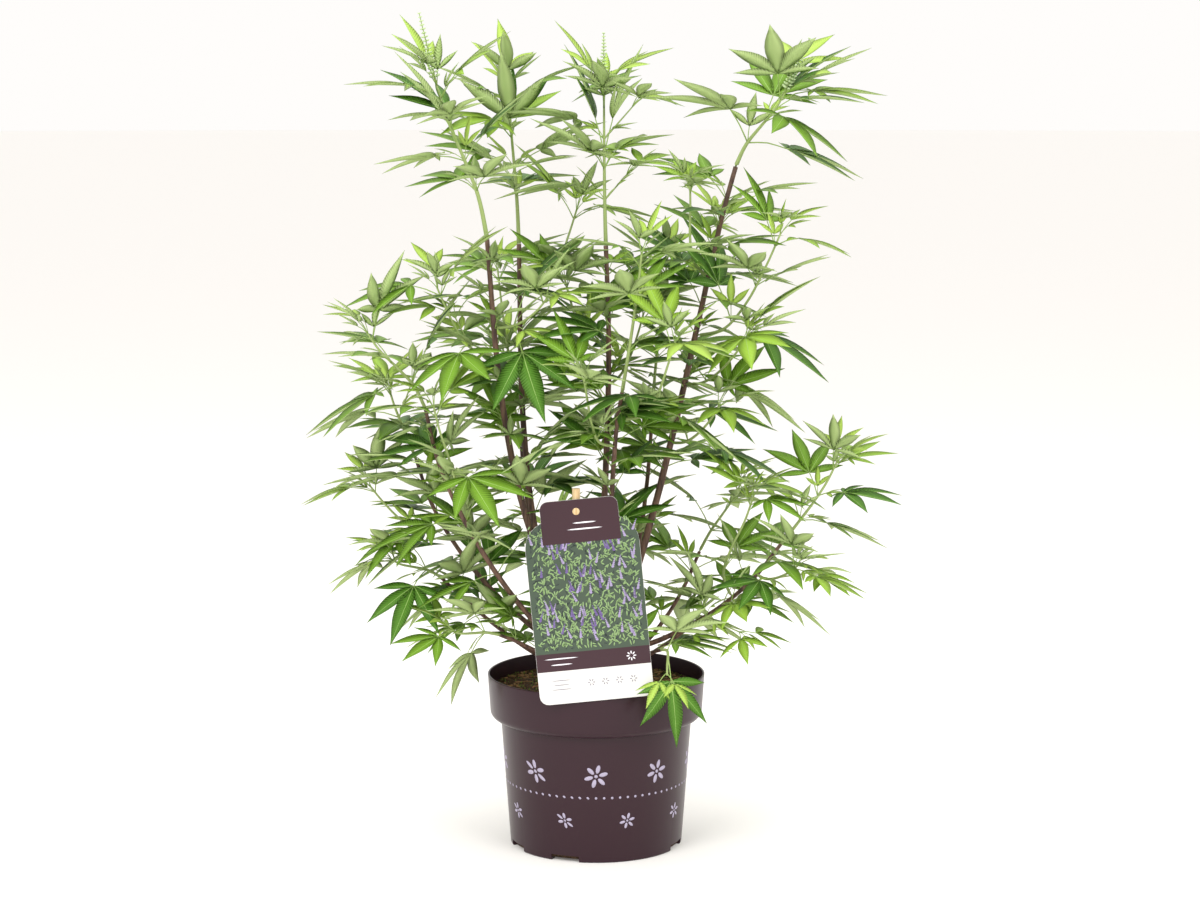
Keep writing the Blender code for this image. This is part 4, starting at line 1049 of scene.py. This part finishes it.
    def grow_tip(self, name, shoot, points, side, draws):
        """The young leaves at a shoot's tip, and its flower spike with the tall leaves under it."""
        tip, along = along_line(points, 1)
        young = shoot.leaf * (TOP_LEAF_PART if shoot.spike else YOUNG_LEAF_PART)
        for turn in (1, -1):
            place = tip - along * (YOUNG_LEAF_SETBACK + YOUNG_LEAF_STAGGER * turn)
            grown = (YOUNG_LEAF_PITCH, young, SMALL_LEAF)
            self.leaf_near(name, place, along, side * turn, *grown, draws, YOUNG_LEAF_AGE)
            across = along.cross(side).normalized() * turn
            top = (SHOOT_TOP_PITCH, young * SHOOT_TOP_PART, SMALL_LEAF, SHOOT_TOP_AGE)
            self.extra_leaf(place, along, across, *top)
        if shoot.spike:
            place, heading = along_line(points, TALL_LEAVES_ALONG)
            across = (side - heading * side.dot(heading)).normalized()
            tall = (TALL_LEAF_PITCH, TALL_LEAF, SMALL_LEAF, TALL_LEAF_AGE)
            for turn in (1, -1):
                self.extra_leaf(place, heading, across * turn, *tall)
            rise = (along + UP * SPIKE_RISE).normalized()
            self.spikes.append((tip - along * SPIKE_SETBACK, tip + rise * shoot.spike))

    def grow_on_bough(self, bough, points):
        """Pairs of leaves along a bough's upper part."""
        length = sum((b - a).length for a, b in zip(points, points[1:]))
        start = BOUGH_PAIRS_FROM[bough.pitch]
        count = int(length * (BOUGH_PAIRS_TO - start) / BOUGH_PAIR_SPACING)
        side = Matrix.Rotation(self.extra.uniform(0, tau), 3, "Z") @ Vector((1, 0, 0))
        for pair in range(count):
            part = start + (BOUGH_PAIRS_TO - start) * (pair + 0.5) / count
            place, along = along_line(points, part)
            side = (side - along * side.dot(along)).normalized()
            for turn in (1, -1):
                leaf = self.extra.uniform(*BOUGH_LEAF)
                pitch = self.extra.uniform(*BOUGH_LEAF_PITCH)
                leaflets = FULL_LEAF if self.extra.random() < BOUGH_FULL_CHANCE else SMALL_LEAF
                age = BOUGH_LEAF_AGE * part + self.extra.uniform(0, BOUGH_LEAF_AGE)
                self.extra_leaf(place, along, side * turn, pitch, leaf, leaflets, age)
                if self.extra.random() < AXIL_CHANCE:
                    small = (AXIL_PITCH, leaf * AXIL_PART, SMALL_LEAF, AXIL_AGE)
                    self.extra_leaf(place, along, side * turn, *small)
            turned_by = radians(self.extra.uniform(*BOUGH_PAIR_TURN))
            side = Matrix.Rotation(turned_by, 3, along) @ side


def leaflet_pattern():
    """One leaflet, 1 long: a pointed oval, folded along its midrib, with an underside."""
    bm = bmesh.new()
    bmesh.ops.create_grid(bm, x_segments=LEAFLET_STATIONS, y_segments=2, size=0.5)
    peak_at = LEAFLET_FULLNESS / (LEAFLET_FULLNESS + LEAFLET_POINT)
    peak = peak_at**LEAFLET_FULLNESS * (1 - peak_at) ** LEAFLET_POINT
    for vert in bm.verts:
        part, across = vert.co.x + 0.5, vert.co.y * 2
        swell = part**LEAFLET_FULLNESS * (1 - part) ** LEAFLET_POINT / peak
        neck = LEAFLET_NECK if part < 0.5 else 0
        half = LEAFLET_WIDTH / 2 * max(swell, neck)
        vert.co = (part, half * across, half * abs(across) * LEAF_FOLD)
    top = bm.faces[:]
    under = bmesh.ops.duplicate(bm, geom=bm.verts[:] + bm.edges[:] + top)["geom"]
    under_faces = [item for item in under if isinstance(item, bmesh.types.BMFace)]
    for vert in (item for item in under if isinstance(item, bmesh.types.BMVert)):
        if abs(vert.co.y) < MERGE_DISTANCE and LEAFLET_ENDS < vert.co.x < 1 - LEAFLET_ENDS:
            vert.co.z -= LEAFLET_THICKNESS
    bmesh.ops.reverse_faces(bm, faces=under_faces)
    for face in under_faces:
        face.material_index = 1
    bmesh.ops.remove_doubles(bm, verts=bm.verts, dist=10 * MERGE_DISTANCE)
    bmesh.ops.dissolve_degenerate(bm, dist=MERGE_DISTANCE, edges=bm.edges)
    return pattern_of(bm)


def rib_pattern():
    """A leaflet's midrib, which stands a little proud of its upper face."""
    rod = rod_pattern(*RIB_ROD)
    part = rod.corners[:, 2]
    across, up = rod.corners[:, :2].T * RIB_WIDTH * (RIB_TAPER - part)
    corners = np.stack([RIB_START + RIB_RUN * part, across, RIB_PROUD + up], axis=1)
    return rod._replace(corners=corners, faces=rod.faces[:, ::-1])


def leaflet_corners(pattern, frame, bearing, reach, width, droop, bow):
    """A leaflet's corners, drooped and bowed, at its bearing in the leaf's frame."""
    part = pattern.corners[:, 0]
    points = pattern.corners * (reach, reach * width, reach)
    points[:, 1] += bow * reach * part**2
    points[:, 2] -= droop * reach * part**2
    turn = frame @ Matrix.Rotation(radians(bearing), 4, "Z")
    return points @ np.array(turn.to_3x3()).T + np.array(turn.translation)


def build_leaves(plant, made):
    """Lays the leaflets and midribs, dealt by age to the shades of green, and the leaf stalks."""
    leaflet, rib, stalk_rod = leaflet_pattern(), rib_pattern(), rod_pattern(*STALK_ROD)
    draws = random.Random(LEAFLET_SEED)
    copies = {shade: ([], []) for shade, youngest in SHADES}
    ribs, stalks = [], []
    for leaf in plant.leaves:
        laid, blades = copies[next(shade for shade, youngest in SHADES if leaf.age < youngest)]
        leaflets = list(leaf.leaflets)
        if leaf.leaflets is FULL_LEAF and draws.random() < HIND_LEAFLET_CHANCE:
            leaflets += HIND_LEAFLETS
        for bearing, part in leaflets:
            reach = leaf.length * part * (1 if bearing == 0 else draws.uniform(*REACH_STRAY))
            bearing += draws.uniform(-TURN_STRAY, TURN_STRAY) if bearing else 0
            width = draws.uniform(*WIDTH_STRAY)
            droop = LEAFLET_DROOP + draws.uniform(*DROOP_STRAY)
            bow = draws.uniform(-BOW_STRAY, BOW_STRAY)
            shape = (leaf.frame, bearing, reach, width, droop, bow)
            laid.append((leaflet, leaflet_corners(leaflet, *shape)))
            across = leaflet.corners[:, 1] * reach * width * 1000
            along = leaflet.corners[:, 0] * reach * 1000 - VEIN_SLANT * np.abs(across)
            blades.append(np.stack([along, across], axis=1))
            ribs.append((rib, leaflet_corners(rib, *shape)))
        hub = leaf.frame.translation
        sag = (hub - leaf.start).length * draws.uniform(*STALK_SAG) * UP
        radius = STALK_RADIUS * (STALK_LEAST + STALK_GAIN * leaf.length / STALK_FULL_LEAF)
        line = rounded([leaf.start, (leaf.start + hub) / 2 + sag, hub], STALK_STEPS)
        stalks.append((stalk_rod, bent(stalk_rod, line, radius, radius * STALK_TAPER)))
    for shade, (laid, blades) in copies.items():
        name = shade.replace(" ", "_") + "lets"
        materials = [made[shade], made["underside"]]
        add_piece(laid_object(name, laid, materials, blades), "foliage", *SHOOTS)
    add_piece(laid_object("leaflet_midribs", ribs, [made["midrib"]]), "foliage", *SHOOTS)
    add_piece(laid_object("leaf_stalks", stalks, [made["stalk"]]), "foliage", *SHOOTS)


def build_stems(plant, lines, made):
    """Green shoots and twigs, and the bark of the boughs and the stool."""
    rod = rod_pattern(*STEM_ROD)
    green = [(rod, bent(rod, *stem)) for stem in plant.stems]
    add_piece(laid_object("green_stems", green, [made["green stem"]]), "foliage", *SHOOTS)

    rod = rod_pattern(*BARK_ROD)
    barks = []
    for i, (name, bough) in enumerate(BOUGHS.items()):
        line = rounded(lines[name], BOUGH_STEPS)
        length = sum((b - a).length for a, b in zip(line, line[1:]))
        places = rod.corners * (BOUGH_RIDGES, BOUGH_RIDGES, length / BARK_GRAIN)
        places[:, 0] += BOUGH_SHIFT * i
        girth = 1 + BARK_RELIEF * np.array([noise.noise(place) for place in places])
        barks.append((rod, bent(rod, line, bough.foot_radius, bough.tip_radius, girth)))
    add_piece(laid_object("bough_bark", barks, [made["bark"]]), "bark", *BOUGHS)

    profile = arc((0, HEAD_HEIGHT), HEAD_RADIUS, 90, NECK_ANGLE, HEAD_STEPS)
    neck_radius, neck_height = profile[-1]
    foot_height = SOIL_TOP + GAP
    for i in range(1, FLARE_STEPS + 1):
        part = i / FLARE_STEPS
        flare = (FLARE_RADIUS - neck_radius) * part**2
        profile.append((neck_radius + flare, neck_height + (foot_height - neck_height) * part))
    profile[0] = (0, profile[0][1])
    bm = spun(profile + [(0, foot_height)], STOOL_STEPS)
    for vert in bm.verts:
        if vert.co.z > foot_height + GAP / 3:
            out = Vector((vert.co.x, vert.co.y, 0))
            vert.co += out * BARK_RELIEF * noise.noise(vert.co * STOOL_RIDGES)
    add_piece(mesh_object("stool_bark", bm, made["bark"], ALL_SMOOTH), "bark", "trunk")


def build_buds(plant, made):
    """Flower spikes in bud: whorls of downy buds that get smaller up a thin stem."""
    rod, bud = rod_pattern(*SPIKE_ROD), pattern_of(ball())
    draws = random.Random(BUD_SEED)
    stems, buds = [], []
    for foot, tip in plant.spikes:
        axis = tip - foot
        line = [foot, (foot + tip) / 2, tip]
        stems.append((rod, bent(rod, line, SPIKE_FOOT_RADIUS, SPIKE_TIP_RADIUS)))
        frame = axis.to_track_quat("Z", "Y").to_matrix()
        for whorl in range(BUD_WHORLS):
            part = BUDS_FROM + (1 - BUDS_FROM) * whorl / (BUD_WHORLS - 1)
            spread = BUD_SPREAD * (1 - part) + BUD_SPREAD_TIP
            size = BUD_RADIUS[1] + (BUD_RADIUS[0] - BUD_RADIUS[1]) * part
            for i in range(BUDS_ROUND):
                turn = tau * (i + 0.5 * (whorl % 2)) / BUDS_ROUND
                turn += draws.uniform(-BUD_TURN_STRAY, BUD_TURN_STRAY)
                out = frame @ Vector((cos(turn), sin(turn), BUD_RISE))
                place = foot + axis * part + out * spread * draws.uniform(*BUD_SPREAD_STRAY)
                turned = out.to_track_quat("Z", "Y").to_matrix().to_4x4()
                shape = Matrix.Diagonal((*(size * BUD_SHAPE), 1))
                buds.append((bud, placed(bud, Matrix.Translation(place) @ turned @ shape)))
    add_piece(laid_object("spike_stems", stems, [made["green stem"]]), "foliage", *SHOOTS)
    add_piece(laid_object("flower_buds", buds, [made["bud"]]), "foliage", *SHOOTS)


def build_stage():
    """A pale floor under a pale sky, soft light from the front on both sides, and the camera."""
    scene = bpy.context.scene
    scene.view_settings.view_transform = "Standard"
    camera = bpy.data.objects.new("Camera", bpy.data.cameras.new("Camera"))
    camera.data.lens = CAMERA_LENS
    camera.data.sensor_width = CAMERA_SENSOR
    camera.location = CAMERA_PLACE
    camera.rotation_euler = (radians(90 - CAMERA_PITCH), 0, 0)
    scene.collection.objects.link(camera)
    scene.camera = camera

    bm = bmesh.new()
    bmesh.ops.create_circle(bm, cap_ends=True, segments=FLOOR_SIDES, radius=FLOOR_RADIUS)
    # Matt white paint. It glows a little, so that the floor meets the sky without a line.
    floor_paint, shader = new_material("matt_studio_floor", "#EFEDEA", 0.9, 0.1)
    shader.inputs["Emission Color"].default_value = linear("#FFFCF8")
    shader.inputs["Emission Strength"].default_value = FLOOR_GLOW
    floor = mesh_object("studio_floor", bm, floor_paint)
    scene.collection.objects.link(floor)

    world = bpy.data.worlds.new("Studio")
    world.use_nodes = True
    sky = world.node_tree.nodes["Background"]
    sky.inputs["Color"].default_value = linear("#FFFDFB")
    sky.inputs["Strength"].default_value = 1.0
    scene.world = world

    for name, (place, size, power) in LIGHTS.items():
        light = bpy.data.lights.new(name, "AREA")
        light.size, light.energy = size, power
        lamp = bpy.data.objects.new(name, light)
        lamp.location = place
        aim = LIGHTS_AIM - Vector(place)
        lamp.rotation_euler = aim.to_track_quat("-Z", "Y").to_euler()
        scene.collection.objects.link(lamp)


def main():
    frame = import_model()
    nodes = frame["nodes"]
    made = make_materials()
    build_stage()
    nodes["label"].material_slots[0].material = made["card"]
    nodes["label_holder"].material_slots[0].material = made["cane"]
    build_pot(made)
    build_pot_print(made)
    build_soil(made)
    build_label(made)

    lines = {name: bough_points(bough) for name, bough in BOUGHS.items()}
    plant = Plant(nodes)
    for i, (name, shoot) in enumerate(SHOOTS.items()):
        plant.grow_shoot(name, shoot, SEED + i, lines)
    for name, bough in BOUGHS.items():
        plant.grow_on_bough(bough, lines[name])
    build_leaves(plant, made)
    build_stems(plant, lines, made)
    build_buds(plant, made)


main()
